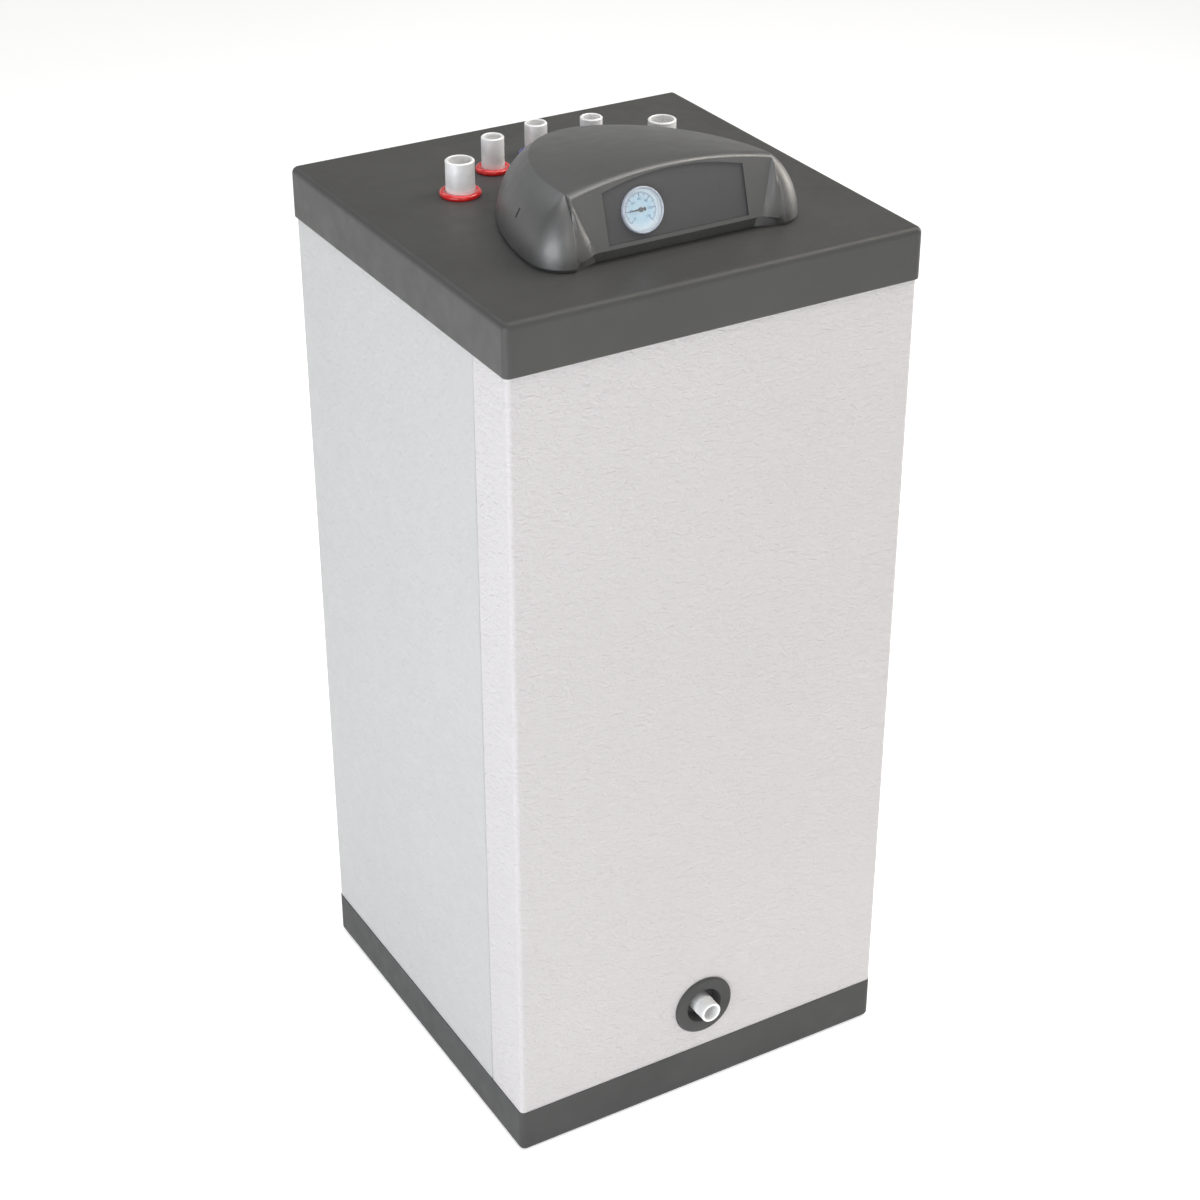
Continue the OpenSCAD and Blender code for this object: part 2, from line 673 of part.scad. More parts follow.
// Outline of the fascia's opening, wider by side and higher by up
module fascia_outline(side, up) {
    hw = plate_w / 2;
    arch = 12.5;
    low = (console_t + fit) / cos(plate_tilt) - plate_back * tan(plate_tilt);
    high = (plate_high_z - front_z) / cos(plate_tilt);
    polygon(concat([[-hw - side, low], [hw + side, low]],
                   [for (i = [10:-1:-10]) [(hw + side) * i / 10, high + up - arch * pow(i / 10, 2)]]));
}

gauge_x = -41.2;
gauge_z = 47;
gauge_body_r = gauge_d / 2 - 1.6;
gauge_lip = 1; // width of the bezel outside the thermometer's flange
bezel_rim = 2.4; // width of the bezel seen from the front
plate_t = 3;
plate_back = -console_t - plate_t;
grommet_x = 32;
grommet_r = 7;
grommet_z = 16;
clip_at = [145, -88.8, 37.1];
clip_lean = 26; // follows the skirt's slope there
clip_size = [10, 4, 11];

module console_housing() color([0.33, 0.33, 0.33]) difference() {
    translate([0, 0, height]) console_shell(console_t);
    on_fascia(0, front_z) translate([0, 0, -console_t - 1]) linear_extrude(console_t + 4)
        fascia_outline(0, 0);
    translate([grommet_x, 0, height + grommet_z]) rotate([-90, 0, 0])
        cylinder(h = width, r = grommet_r + fit);
    clip_slots(fit);
}

// Latch tongues through both sides of the console
module clip_slots(gap) for (side = [-1, 1])
    translate([side * clip_at[0], clip_at[1], height + clip_at[2]]) rotate([0, -side * clip_lean, 0])
        cube(clip_size + gap * [0, 2, 2], center = true);

module console_clips() color([0.12, 0.12, 0.12]) clip_slots(0);

module fascia_plate() color([0.28, 0.28, 0.29]) difference() {
    on_fascia(0, front_z) translate([0, 0, plate_back]) linear_extrude(plate_t) fascia_outline(4, 1);
    on_fascia(gauge_x, gauge_z) translate([0, 0, plate_back - 1])
        cylinder(h = plate_t + 2, r = gauge_body_r + fit);
}

// ---- thermometer ----

dial_z = -console_t - 3;
glass_z = -console_t + 1.5;
dial_r = gauge_body_r - 1;
gauge_back = 24; // depth of the body behind the front plane
glass_t = 1.2;

module gauge_body() color([0.80, 0.80, 0.80]) on_fascia(gauge_x, gauge_z) difference() {
    union() {
        rod(gauge_body_r, -gauge_back, -console_t);
        rod(gauge_d / 2 - gauge_lip, -console_t, glass_z);
    }
    rod(dial_r, dial_z - 0.6, 1);
    rod(1 + run, -14, dial_z);
}

module gauge_dial() color([0.80, 0.88, 0.94]) on_fascia(gauge_x, gauge_z)
    tube(dial_r - fit, 1.6, dial_z - 0.6, dial_z);

// Points to 9 o'clock at rest
module gauge_pointer() color([0.10, 0.10, 0.10]) on_fascia(gauge_x, gauge_z) {
    rod(1, -13, dial_z + 0.4);
    rod(2.6, dial_z + 0.4, dial_z + 1.6);
    translate([0, 0, dial_z + 0.6]) linear_extrude(0.7)
        polygon([[-14.5, 0], [-2, 1.3], [4, 1], [6.4, 1.6], [6.4, -1.6], [4, -1], [-2, -1.3]]);
}

module gauge_glass() color([0.85, 0.92, 0.95, 0.35]) on_fascia(gauge_x, gauge_z)
    rod(gauge_d / 2 - gauge_lip - 0.4, glass_z, glass_z + glass_t);

module gauge_bezel() color([0.82, 0.83, 0.83]) on_fascia(gauge_x, gauge_z) difference() {
    rod(gauge_d / 2, -console_t, glass_z + 2.6);
    rod(gauge_d / 2 - gauge_lip + fit, -console_t - 1, glass_z + glass_t);
    rod(gauge_d / 2 - bezel_rim, -console_t, glass_z + 4);
}

// Cubic curve from a to d that leaves towards b and arrives from c
function curve(a, b, c, d, n) = [for (i = [0:n - 1]) let (t = i / n, s = 1 - t)
    s * s * s * a + 3 * s * s * t * b + 3 * s * t * t * c + t * t * t * d];

capillary_r = 1.2;
bulb_r = 2.7;
bulb_l = 90;
curve_steps = 12;
// Capillary from a, leaving along out, down to a bulb in the well at x from its middle
module capillary(a, out, x) {
    way = [well_xy[0] + x, well_xy[1], 0];
    d = way + [0, 0, plate_top + 19];
    top = well_z + 4 + bulb_l;
    sweep(concat(curve(a, a + out, d + [0, 0, 48], d, curve_steps),
                 [d, way + [0, 0, top + 2], way + [0, 0, top], way + [0, 0, well_z + 4]]),
          concat([for (i = [0:curve_steps + 1]) capillary_r], [bulb_r, bulb_r]), [1, 0, 0], 8);
}

module gauge_capillary() color([0.72, 0.48, 0.30])
    capillary([gauge_x, fascia_y(gauge_z) + gauge_back * cos(plate_tilt),
               height + gauge_z - gauge_back * sin(plate_tilt)], [0, 60, -10], -3);

// ---- thermostat, under the console ----

bracket_y = -112;
bracket_t = 1.5;
bracket_x = 6; // middle of the bracket
bracket_size = [164, 22, 62]; // width, depth of its foot, and height
stat_x = 48;
stat_z = 40;
stat_size = [42, 28, 40];
block_size = [46, 16, 22];
block_x = -62; // left end of the terminal block
block_z = 4;
screw_r = 2;
spindle_r = 3;

// Places of the bracket's screws
module at_bracket_screws() for (x = [-66, 78]) translate([x, bracket_y - 13, 0]) children();

module thermostat_bracket() color([0.70, 0.71, 0.72]) difference() {
    translate([bracket_x - bracket_size[0] / 2, 0, height]) {
        translate([0, bracket_y - bracket_size[1], 0])
            cube([bracket_size[0], bracket_size[1], bracket_t]);
        translate([0, bracket_y - bracket_t, 0])
            cube([bracket_size[0], bracket_t, bracket_size[2]]);
    }
    at_bracket_screws() rod(screw_r + fit, height - 1, height + 5);
    translate([stat_x, 0, height + stat_z]) rotate([90, 0, 0]) cylinder(h = 200, r = 6);
    translate([gauge_x - 6, bracket_y - 5, height + 28]) cube([12, 10, 40]);
}

module thermostat_body() color([0.90, 0.89, 0.84]) difference() {
    translate([stat_x - stat_size[0] / 2, bracket_y, height + stat_z - stat_size[2] / 2])
        cube(stat_size);
    translate([stat_x, bracket_y + 20, height + stat_z]) rotate([90, 0, 0])
        cylinder(h = 60, r = spindle_r + run);
}

module thermostat_knob() color([0.10, 0.10, 0.11])
    translate([stat_x, bracket_y, height + stat_z]) rotate([90, 0, 0]) difference() {
        union() {
            rod(spindle_r, -18, 5);
            rod(19, 4, 8);
            rod(15, 8, 18);
        }
        translate([-1, 11, 17]) cube([2, 5, 3]);
    }

module thermostat_capillary() color([0.72, 0.48, 0.30])
    capillary([stat_x - 12, bracket_y + stat_size[1], height + stat_z - 8], [-10, 40, 0], 3);

module terminal_block() color([0.86, 0.85, 0.80]) difference() {
    translate([block_x, bracket_y, height + block_z]) cube(block_size);
    for (i = [0:2]) translate([block_x + 7 + 16 * i, bracket_y + 10, height + block_z + 6])
        rod(2.5, 0, 30);
}

// Rubber bush closed by a membrane that a cable would be pushed through
module cable_grommet() color([0.08, 0.08, 0.08])
    translate([grommet_x, 86, height + grommet_z]) rotate([-90, 0, 0]) {
        tube(grommet_r, grommet_r - 2.5, 1.5, 14);
        rod(grommet_r, 0, 1.5);
    }

module bracket_screws() color([0.78, 0.78, 0.76]) at_bracket_screws() {
    rod(screw_r, height - cover_t - 4, height + bracket_t);
    rod(screw_r + 2, height + bracket_t, height + bracket_t + 2.2);
}

// ---- feet ----

module levelling_foot(c) color([0.20, 0.20, 0.20]) translate([c[0] * foot_xy, c[1] * foot_xy, 0]) {
    rod(pad_d / 2, 0, pad_h);
    rod(screw_d / 2, pad_h, foot_stem_top);
}

module levelling_foot_1() levelling_foot(corner_feet[0]);
module levelling_foot_2() levelling_foot(corner_feet[1]);
module levelling_foot_3() levelling_foot(corner_feet[2]);
module levelling_foot_4() levelling_foot(corner_feet[3]);

base_tray();
tank_stand();
insulation_foam();
front_panel();
side_back_panel();
top_cover();
tank_shell();
tank_top_end();
tank_bottom_end();
flange_neck();
flange_ring();
flange_gasket();
flange_plate();
flange_bolts();
anode_rod();
anode_nut();
sensor_well();
heating_coil();
heating_inlet();
heating_outlet();
hot_water_outlet();
cold_water_inlet();
circulation_inlet();
cold_dip_tube();
circulation_tube();
drain_stub();
drain_rosette();
hot_rings();
cold_rings();
console_housing();
console_clips();
fascia_plate();
gauge_body();
gauge_dial();
gauge_pointer();
gauge_glass();
gauge_bezel();
gauge_capillary();
thermostat_bracket();
thermostat_body();
thermostat_knob();
thermostat_capillary();
terminal_block();
cable_grommet();
bracket_screws();
levelling_foot_1();
levelling_foot_2();
levelling_foot_3();
levelling_foot_4();
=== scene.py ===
import math

import bmesh
import bpy
from mathutils import Matrix, Vector, kdtree


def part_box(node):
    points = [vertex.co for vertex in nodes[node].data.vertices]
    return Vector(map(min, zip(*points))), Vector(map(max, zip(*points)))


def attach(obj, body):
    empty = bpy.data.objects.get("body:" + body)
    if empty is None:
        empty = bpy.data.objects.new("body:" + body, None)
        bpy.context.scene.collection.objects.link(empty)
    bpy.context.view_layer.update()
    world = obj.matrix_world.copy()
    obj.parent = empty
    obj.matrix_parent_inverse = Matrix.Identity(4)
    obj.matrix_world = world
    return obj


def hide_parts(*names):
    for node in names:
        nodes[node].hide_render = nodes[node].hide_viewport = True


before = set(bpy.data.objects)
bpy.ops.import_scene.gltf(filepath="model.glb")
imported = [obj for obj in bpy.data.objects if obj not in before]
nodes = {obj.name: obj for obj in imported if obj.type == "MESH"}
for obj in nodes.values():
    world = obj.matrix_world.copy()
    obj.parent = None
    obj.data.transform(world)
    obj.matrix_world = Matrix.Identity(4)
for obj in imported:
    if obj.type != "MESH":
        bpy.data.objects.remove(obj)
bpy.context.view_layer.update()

scene = bpy.context.scene

lo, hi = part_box("top_cover")
HEIGHT = hi[2]
COVER_Z = lo[2]
WIDTH = hi[0] - lo[0]

SHADE_ANGLE = 32.0      # degrees; folds sharper than this stay crisp
SHEET_ANGLE = 40.0
CONSOLE_ANGLE = 24.0
CAD_ANGLE = 35.0
EASE = 0.0015           # from a rounded corner to the extra point on the flat beside it
DIAL_R = 0.021          # where the dial's tint ends
NOISE_LOW, NOISE_HIGH = 0.3, 0.7        # most of a noise's values lie between them


# ------------------------------------------------------------------ materials
class Graph:
    """A material's node tree round one Principled shader."""

    def __init__(self, name, rough=0.5, metal=0.0, spec=0.5, coat=0.0, coat_rough=0.1):
        self.m = bpy.data.materials.new(name)
        self.m.use_nodes = True
        self.t = self.m.node_tree
        self.s = self.t.nodes["Principled BSDF"]
        self.s.inputs["Metallic"].default_value = metal
        self.s.inputs["Roughness"].default_value = rough
        self.s.inputs["Specular IOR Level"].default_value = spec
        self.s.inputs["Coat Weight"].default_value = coat
        self.s.inputs["Coat Roughness"].default_value = coat_rough
        self.place = self.t.nodes.new("ShaderNodeTexCoord").outputs["Object"]

    def node(self, kind, **values):
        n = self.t.nodes.new(kind)
        for k, v in values.items():
            setattr(n, k, v)
        return n

    def link(self, a, b):
        self.t.links.new(a, b)

    def scaled(self, scale):
        n = self.node("ShaderNodeMapping")
        n.inputs["Scale"].default_value = scale
        self.link(self.place, n.inputs["Vector"])
        return n.outputs["Vector"]

    def noise(self, scale, detail=3.0, rough=0.55, distort=0.0, stretch=None):
        n = self.node("ShaderNodeTexNoise")
        n.inputs["Scale"].default_value = scale
        n.inputs["Detail"].default_value = detail
        n.inputs["Roughness"].default_value = rough
        n.inputs["Distortion"].default_value = distort
        self.link(self.scaled(stretch) if stretch else self.place, n.inputs["Vector"])
        return n.outputs["Fac"]

    def cells(self, scale):
        n = self.node("ShaderNodeTexVoronoi", feature="F1")
        n.inputs["Scale"].default_value = scale
        self.link(self.place, n.inputs["Vector"])
        return n.outputs["Distance"]

    def ramp(self, fac, stops):
        """Colour by fac, from stops of (position, colour)."""
        n = self.node("ShaderNodeValToRGB")
        n.color_ramp.interpolation = "EASE"
        e = n.color_ramp.elements
        while len(e) < len(stops):
            e.new(0.5)
        for el, (at, c) in zip(e, stops):
            el.position = at
            el.color = (*c, 1)
        self.link(fac, n.inputs["Fac"])
        return n.outputs["Color"]

    def span(self, fac, a0, a1, b0, b1):
        """fac from a0..a1 to b0..b1."""
        n = self.node("ShaderNodeMapRange")
        for k, v in zip(("From Min", "From Max", "To Min", "To Max"), (a0, a1, b0, b1)):
            n.inputs[k].default_value = v
        self.link(fac, n.inputs["Value"])
        return n.outputs["Result"]

    def spread(self, fac, b0, b1):
        """A noise's usual range to b0..b1."""
        return self.span(fac, NOISE_LOW, NOISE_HIGH, b0, b1)

    def mottle(self, fac, c, k0, k1):
        """Colour c times k0 to k1, by a noise."""
        return self.ramp(fac, [(NOISE_LOW, tint(c, k0)), (NOISE_HIGH, tint(c, k1))])

    def math(self, op, a, b):
        n = self.node("ShaderNodeMath", operation=op)
        for i, v in enumerate((a, b)):
            if isinstance(v, (int, float)):
                n.inputs[i].default_value = v
            else:
                self.link(v, n.inputs[i])
        return n.outputs["Value"]

    def mix(self, fac, under, over):
        """The plain colour over, laid on the colours of under by fac."""
        n = self.node("ShaderNodeMix", data_type="RGBA")
        self.link(fac, n.inputs[0])
        self.link(under, n.inputs[6])
        n.inputs[7].default_value = (*over, 1)
        return n.outputs[2]

    def edges(self, low=0.52, high=0.6):
        """Where the surface folds outwards, for a painted highlight along edges."""
        return self.span(self.node("ShaderNodeNewGeometry").outputs["Pointiness"], low, high, 0, 1)

    def colour(self, out):
        self.link(out, self.s.inputs["Base Color"])

    def rough(self, out):
        self.link(out, self.s.inputs["Roughness"])

    def bump(self, *layers):
        """Each layer is (height, distance in metres, strength)."""
        last = None
        for h, distance, strength in layers:
            n = self.node("ShaderNodeBump")
            n.inputs["Distance"].default_value = distance
            n.inputs["Strength"].default_value = strength
            self.link(h, n.inputs["Height"])
            if last:
                self.link(last, n.inputs["Normal"])
            last = n.outputs["Normal"]
        self.link(last, self.s.inputs["Normal"])


def tint(c, k):
    """Colour c times k, no channel above 1."""
    return tuple(min(1.0, v * k) for v in c)


def moulded(name, c, rough, grain=0.00012, spec=0.45, grain_scale=1500, ior=1.5):
    """Grained moulded plastic with soft tone changes and a faint painted highlight along its
    edges.
    """
    g = Graph(name, rough, spec=spec)
    g.s.inputs["IOR"].default_value = ior
    base = g.mottle(g.noise(7.0, 3.0), c, 0.94, 1.06)
    specks = g.span(g.noise(grain_scale * 0.55, 2.0), 0.55, 0.75, 0, 0.25)
    base = g.mix(specks, base, tint(c, 1.35))
    # outward edges are painted paler, as a painted highlight
    g.colour(g.mix(g.math("MULTIPLY", g.edges(), 0.12), base, tint(c, 2.2)))
    g.rough(g.spread(g.noise(40.0, 4.0), rough - 0.05, rough + 0.07))
    g.bump((g.noise(grain_scale, 2.0, 0.6), grain, 0.5), (g.noise(260.0, 2.0), 0.0002, 0.08))
    return g.m


def embossed(name, c, stretch, depth, warm=1.0):
    """Coated sheet with a shallow rippled emboss, and painted shade in its hollows."""
    g = Graph(name, 0.42, spec=0.45)
    big = g.noise(95.0, 2.5, 0.5, 1.1, stretch)
    fine = g.noise(240.0, 2.0, 0.5, 0.6, stretch)
    tone = g.mottle(g.noise(2.2, 2.0), c, 0.985, 1.01)
    # the emboss's hollows are painted darker, as painted shade; warm tints that shade
    hollow_shade = g.span(big, 0.30, 0.48, 0.07, 0.0)
    g.colour(g.mix(hollow_shade, tone, tint((c[0] * warm, c[1] * 0.97, c[2]), 0.8)))
    g.rough(g.spread(g.noise(60.0, 3.0), 0.38, 0.5))
    g.bump((big, depth * 2.0, 0.8), (fine, depth * 0.6, 0.5))
    return g.m


def plated(name, c, rough, metal):
    """Zinc-plated or drawn metal, with faint drawing lines and dull patches."""
    g = Graph(name, rough, metal=metal)
    patch = g.noise(55.0, 4.0)
    base = g.mottle(patch, c, 0.88, 1.06)
    # outward edges are painted paler, as a painted highlight
    g.colour(g.mix(g.math("MULTIPLY", g.edges(0.5, 0.58), 0.35), base, tint(c, 1.3)))
    lines = g.noise(900.0, 3.0, 0.6, 0.0, (1, 1, 0.06))
    g.rough(g.span(g.math("ADD", lines, patch), 0.7, 1.3, rough - 0.08, rough + 0.12))
    g.bump((lines, 0.00008, 0.35), (patch, 0.0001, 0.12))
    return g.m


def glossy(name, c, rough=0.22, coat=0.4):
    """Glossy moulded plastic with slight flow marks."""
    g = Graph(name, rough, spec=0.5, coat=coat, coat_rough=0.08)
    flow = g.noise(80.0, 3.0, 0.5, 0.8)
    base = g.mottle(flow, c, 0.9, 1.08)
    # outward edges are painted paler, as a painted highlight
    g.colour(g.mix(g.math("MULTIPLY", g.edges(), 0.15), base, tint(c, 1.4)))
    g.rough(g.spread(g.noise(300.0, 2.0), rough - 0.04, rough + 0.08))
    g.bump((flow, 0.00015, 0.25), (g.noise(900.0, 1.0), 0.00004, 0.3))
    return g.m


def cast(name, c, rough, metal=0.0, scale=180.0, depth=0.0004):
    """Rough cast, primed, enamelled or foamed matter."""
    g = Graph(name, rough, metal=metal)
    patch = g.noise(scale * 0.25, 4.0)
    g.colour(g.ramp(patch, [(0.25, tint(c, 0.78)), (0.75, tint(c, 1.15))]))
    g.rough(g.spread(g.noise(scale, 3.0), rough - 0.1, rough + 0.1))
    g.bump((g.noise(scale, 5.0, 0.6), depth, 0.5), (g.cells(scale * 1.7), depth * 0.4, 0.25))
    return g.m


M = {
    "dark": moulded("cover_plastic", (0.065, 0.065, 0.063), rough=0.42, spec=0.3),
    "base": moulded("base_plastic", (0.056, 0.056, 0.056), rough=0.55, spec=0.3),
    "console": moulded("console_plastic", (0.035, 0.035, 0.034), rough=0.44, spec=1.0,
                       grain=0.00008, ior=1.75),
    "fascia": moulded("fascia_plate", (0.074, 0.074, 0.077), rough=0.62, grain=0.0005,
                      grain_scale=620),
    "front": embossed("front_sheet", (0.56, 0.54, 0.547), (1.0, 1.0, 1.7), 0.0012, 1.03),
    # the side and back sheet is painted darker than the front one, as painted shade against the
    # strong light on the left face
    "side": embossed("side_sheet", (0.475, 0.475, 0.475), (1.0, 1.0, 0.8), 0.0008),
    "pipe": plated("pipe_zinc", (0.90, 0.90, 0.90), rough=0.38, metal=0.15),
    "zinc": plated("zinc_steel", (0.62, 0.62, 0.60), rough=0.35, metal=0.9),
    "brass": plated("drawn_brass", (0.62, 0.44, 0.20), rough=0.3, metal=1.0),
    "copper": plated("drawn_copper", (0.62, 0.32, 0.18), rough=0.3, metal=1.0),
    "red": glossy("red_plastic", (0.80, 0.012, 0.012), rough=0.18, coat=1.0),
    "blue": glossy("blue_plastic", (0.07, 0.05, 0.42)),
    "white": glossy("white_plastic", (0.72, 0.75, 0.78), rough=0.3),
    "rim": glossy("bezel_plastic", (0.46, 0.50, 0.58), rough=0.25),
    "cream": glossy("cream_plastic", (0.72, 0.68, 0.56), rough=0.4, coat=0.1),
    "natural": glossy("natural_plastic", (0.74, 0.74, 0.68), rough=0.35, coat=0.1),
    "black": moulded("black_plastic", (0.02, 0.02, 0.021), rough=0.45),
    "rubber": moulded("black_rubber", (0.018, 0.018, 0.018), rough=0.75, spec=0.3),
    "enamel": cast("vessel_enamel", (0.03, 0.06, 0.15), rough=0.3, scale=90.0, depth=0.0003),
    "primer": cast("primed_steel", (0.075, 0.08, 0.085), rough=0.55),
    "anode": cast("cast_magnesium", (0.55, 0.56, 0.55), rough=0.5, metal=0.7),
    "foam": cast("cut_foam", (0.74, 0.62, 0.30), rough=0.9, scale=350.0, depth=0.0009),
}


def dial_face():
    """Pale blue, deepest in a ring just outside the numbers."""
    g = Graph("dial_face", 0.4, coat=0.2)
    r = g.node("ShaderNodeVectorMath", operation="LENGTH")
    g.link(g.place, r.inputs[0])
    c = g.ramp(g.span(r.outputs["Value"], 0.0, DIAL_R, 0, 1),
               [(0.0, (0.70, 0.86, 0.96)), (0.62, (0.55, 0.78, 0.93)), (0.80, (0.66, 0.85, 0.97)),
                (0.95, (0.80, 0.90, 0.97))])
    g.colour(g.mix(g.spread(g.noise(400.0, 2.0), 0, 0.06), c, (0.4, 0.55, 0.7)))
    g.rough(g.spread(g.noise(900.0, 2.0), 0.34, 0.46))
    g.bump((g.noise(1500.0, 1.0), 0.00002, 0.3))
    return g.m


def clear_glass():
    """Nearly clear, so that the dial shows through it."""
    g = Graph("gauge_glass", 0.04, spec=0.6)
    g.s.inputs["Alpha"].default_value = 0.10
    g.colour(g.ramp(g.noise(120.0, 2.0), [(NOISE_LOW, (0.86, 0.93, 0.97)),
                                          (NOISE_HIGH, (0.92, 0.96, 1.0))]))
    g.rough(g.spread(g.noise(300.0, 2.0), 0.02, 0.06))
    g.bump((g.noise(90.0, 1.0), 0.00003, 0.15))
    return g.m


M["dial"] = dial_face()
M["glass"] = clear_glass()
M["ink"] = glossy("printed_ink", (0.03, 0.12, 0.30), rough=0.5, coat=0.0)

FINISH = {
    "base_tray": "base", "tank_stand": "primer", "insulation_foam": "foam",
    "front_panel": "front", "side_back_panel": "side", "top_cover": "dark",
    "tank_shell": "enamel", "tank_top_end": "enamel", "tank_bottom_end": "enamel",
    "flange_neck": "primer", "flange_ring": "primer", "flange_gasket": "rubber",
    "flange_plate": "zinc", "flange_bolts": "zinc", "anode_rod": "anode", "anode_nut": "zinc",
    "sensor_well": "brass", "heating_coil": "enamel", "heating_inlet": "pipe",
    "heating_outlet": "pipe", "hot_water_outlet": "pipe", "cold_water_inlet": "pipe",
    "circulation_inlet": "pipe", "cold_dip_tube": "natural", "circulation_tube": "natural",
    "drain_stub": "pipe", "drain_rosette": "base", "hot_rings": "red", "cold_rings": "blue",
    "console_housing": "console", "console_clips": "black", "fascia_plate": "fascia",
    "gauge_body": "white", "gauge_dial": "dial", "gauge_pointer": "black",
    "gauge_glass": "glass", "gauge_bezel": "white", "gauge_capillary": "copper",
    "thermostat_bracket": "zinc", "thermostat_body": "cream", "thermostat_knob": "black",
    "thermostat_capillary": "copper", "terminal_block": "cream", "cable_grommet": "rubber",
    "bracket_screws": "zinc", "levelling_foot_1": "rubber", "levelling_foot_2": "rubber",
    "levelling_foot_3": "rubber", "levelling_foot_4": "rubber",
}


def smooth(obj, angle=SHADE_ANGLE):
    """Rounded faces shade as rounded; folds sharper than angle stay crisp."""
    me = obj.data
    bm = bmesh.new()
    bm.from_mesh(me)
    limit = math.radians(angle)
    for f in bm.faces:
        f.smooth = True
    for e in bm.edges:
        e.smooth = len(e.link_faces) == 2 and e.calc_face_angle(0.0) < limit
    bm.to_mesh(me)
    bm.free()


def weld_modifiers(obj, angle):
    """A CAD node keeps its vertices, so its seams are joined and smoothed by modifiers."""
    w = obj.modifiers.new("join", "WELD")
    w.merge_threshold = 1e-6
    for p in obj.data.polygons:
        p.use_smooth = True
    n = obj.modifiers.new("edges", "EDGE_SPLIT")
    n.split_angle = math.radians(angle)
    n.use_edge_sharp = False


for name, obj in nodes.items():
    obj.data.materials.clear()
    obj.data.materials.append(M[FINISH[name]])
    weld_modifiers(obj, CAD_ANGLE)


# ---------------------------------------------------------------- mesh helpers
def raw_object(name, verts, faces):
    """An object of these faces, all turned outwards."""
    me = bpy.data.meshes.new(name)
    me.from_pydata([tuple(v) for v in verts], [], [tuple(f) for f in faces])
    obj = bpy.data.objects.new(name, me)
    scene.collection.objects.link(obj)
    bm = bmesh.new()
    bm.from_mesh(me)
    bmesh.ops.recalc_face_normals(bm, faces=bm.faces)
    bm.to_mesh(me)
    bm.free()
    return obj


def new_mesh(name, verts, faces, finish, body="heater", angle=SHADE_ANGLE, at=None):
    """A visible piece riding on body, its vertices in the frame of at."""
    obj = raw_object(name, verts, faces)
    obj.data.materials.append(M[finish])
    smooth(obj, angle)
    if at is not None:
        obj.matrix_world = at
        bpy.context.view_layer.update()
    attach(obj, body)
    return obj


def lathe(name, profile, finish, at, body="heater", steps=96):
    """Turns a closed (r, z) outline round the local Z axis."""
    verts, faces = [], []
    n = len(profile)
    for s in range(steps):
        a = 2 * math.pi * s / steps
        verts += [(r * math.cos(a), r * math.sin(a), z) for r, z in profile]
    for s in range(steps):
        t = (s + 1) % steps
        faces += [(s * n + i, s * n + (i + 1) % n, t * n + (i + 1) % n, t * n + i)
                  for i in range(n)]
    return new_mesh(name, verts, faces, finish, body, at=at)


def evaluated_mesh(obj):
    """A new mesh of obj with its modifiers, or its letters, made solid."""
    bpy.context.view_layer.update()
    graph = bpy.context.evaluated_depsgraph_get()
    return bpy.data.meshes.new_from_object(obj.evaluated_get(graph))


def cut(obj, tool_verts, tool_faces):
    """Takes a closed solid out of obj."""
    tool = raw_object("tool", tool_verts, tool_faces)
    mod = obj.modifiers.new("cut", "BOOLEAN")
    mod.object = tool
    mod.operation = "DIFFERENCE"
    mod.solver = "EXACT"
    made = evaluated_mesh(obj)
    obj.modifiers.remove(mod)
    old, tool_mesh = obj.data, tool.data
    obj.data = made
    bpy.data.meshes.remove(old)
    bpy.data.objects.remove(tool)
    bpy.data.meshes.remove(tool_mesh)


def prism(points, z0, z1, place=None):
    """Vertices and faces of an outline raised from z0 to z1."""
    n = len(points)
    v = [Vector((x, y, z0)) for x, y in points] + [Vector((x, y, z1)) for x, y in points]
    if place is not None:
        v = [place @ p for p in v]
    f = [tuple(range(n - 1, -1, -1)), tuple(range(n, 2 * n))]
    f += [(i, (i + 1) % n, n + (i + 1) % n, n + i) for i in range(n)]
    return v, f


def circle(x, y, r, n=48):
    return [(x + r * math.cos(2 * math.pi * i / n), y + r * math.sin(2 * math.pi * i / n))
            for i in range(n)]


def arc(cx, cz, r, a0, a1, n=8):
    """Points of an arc from a0 to a1 degrees."""
    return [(cx + r * math.cos(math.radians(a0 + (a1 - a0) * i / n)),
             cz + r * math.sin(math.radians(a0 + (a1 - a0) * i / n))) for i in range(n + 1)]


def turned(point, degrees, axis):
    """A frame at point, turned about one axis of the part's frame."""
    return Matrix.Translation(point) @ Matrix.Rotation(math.radians(degrees), 4, axis)


CORNER_STEPS = 8
SHARPEST = 0.0006       # the smallest corner radius


def square_ring(w, r, z):
    """Rounded square at z, with a point EASE beside each corner so that its flats shade flat."""
    r = max(r, SHARPEST)
    out = []
    for q, (sx, sy) in enumerate(((1, 1), (-1, 1), (-1, -1), (1, -1))):
        cx, cy = sx * (w / 2 - r), sy * (w / 2 - r)
        a0 = math.pi / 2 * q
        a1 = a0 + math.pi / 2
        back = Vector((math.sin(a0), -math.cos(a0))) * EASE
        on = Vector((-math.sin(a1), math.cos(a1))) * EASE
        out.append((cx + r * math.cos(a0) + back.x, cy + r * math.sin(a0) + back.y, z))
        for i in range(CORNER_STEPS + 1):
            a = a0 + math.pi / 2 * i / CORNER_STEPS
            out.append((cx + r * math.cos(a), cy + r * math.sin(a), z))
        out.append((cx + r * math.cos(a1) + on.x, cy + r * math.sin(a1) + on.y, z))
    return out


def loft(name, rings, finish, angle=SHADE_ANGLE):
    """Skin over outlines of equal length, closed at both ends by flat caps."""
    n = len(rings[0])
    verts = [p for ring in rings for p in ring]
    faces = [tuple(range(n - 1, -1, -1)), tuple((len(rings) - 1) * n + i for i in range(n))]
    for k in range(len(rings) - 1):
        for i in range(n):
            j = (i + 1) % n
            faces.append((k * n + i, k * n + j, (k + 1) * n + j, (k + 1) * n + i))
    return new_mesh(name, verts, faces, finish, angle=angle)


def centre_of(name):
    """Centre and half size of a CAD node's box."""
    a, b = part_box(name)
    return (a + b) / 2, (b - a) / 2


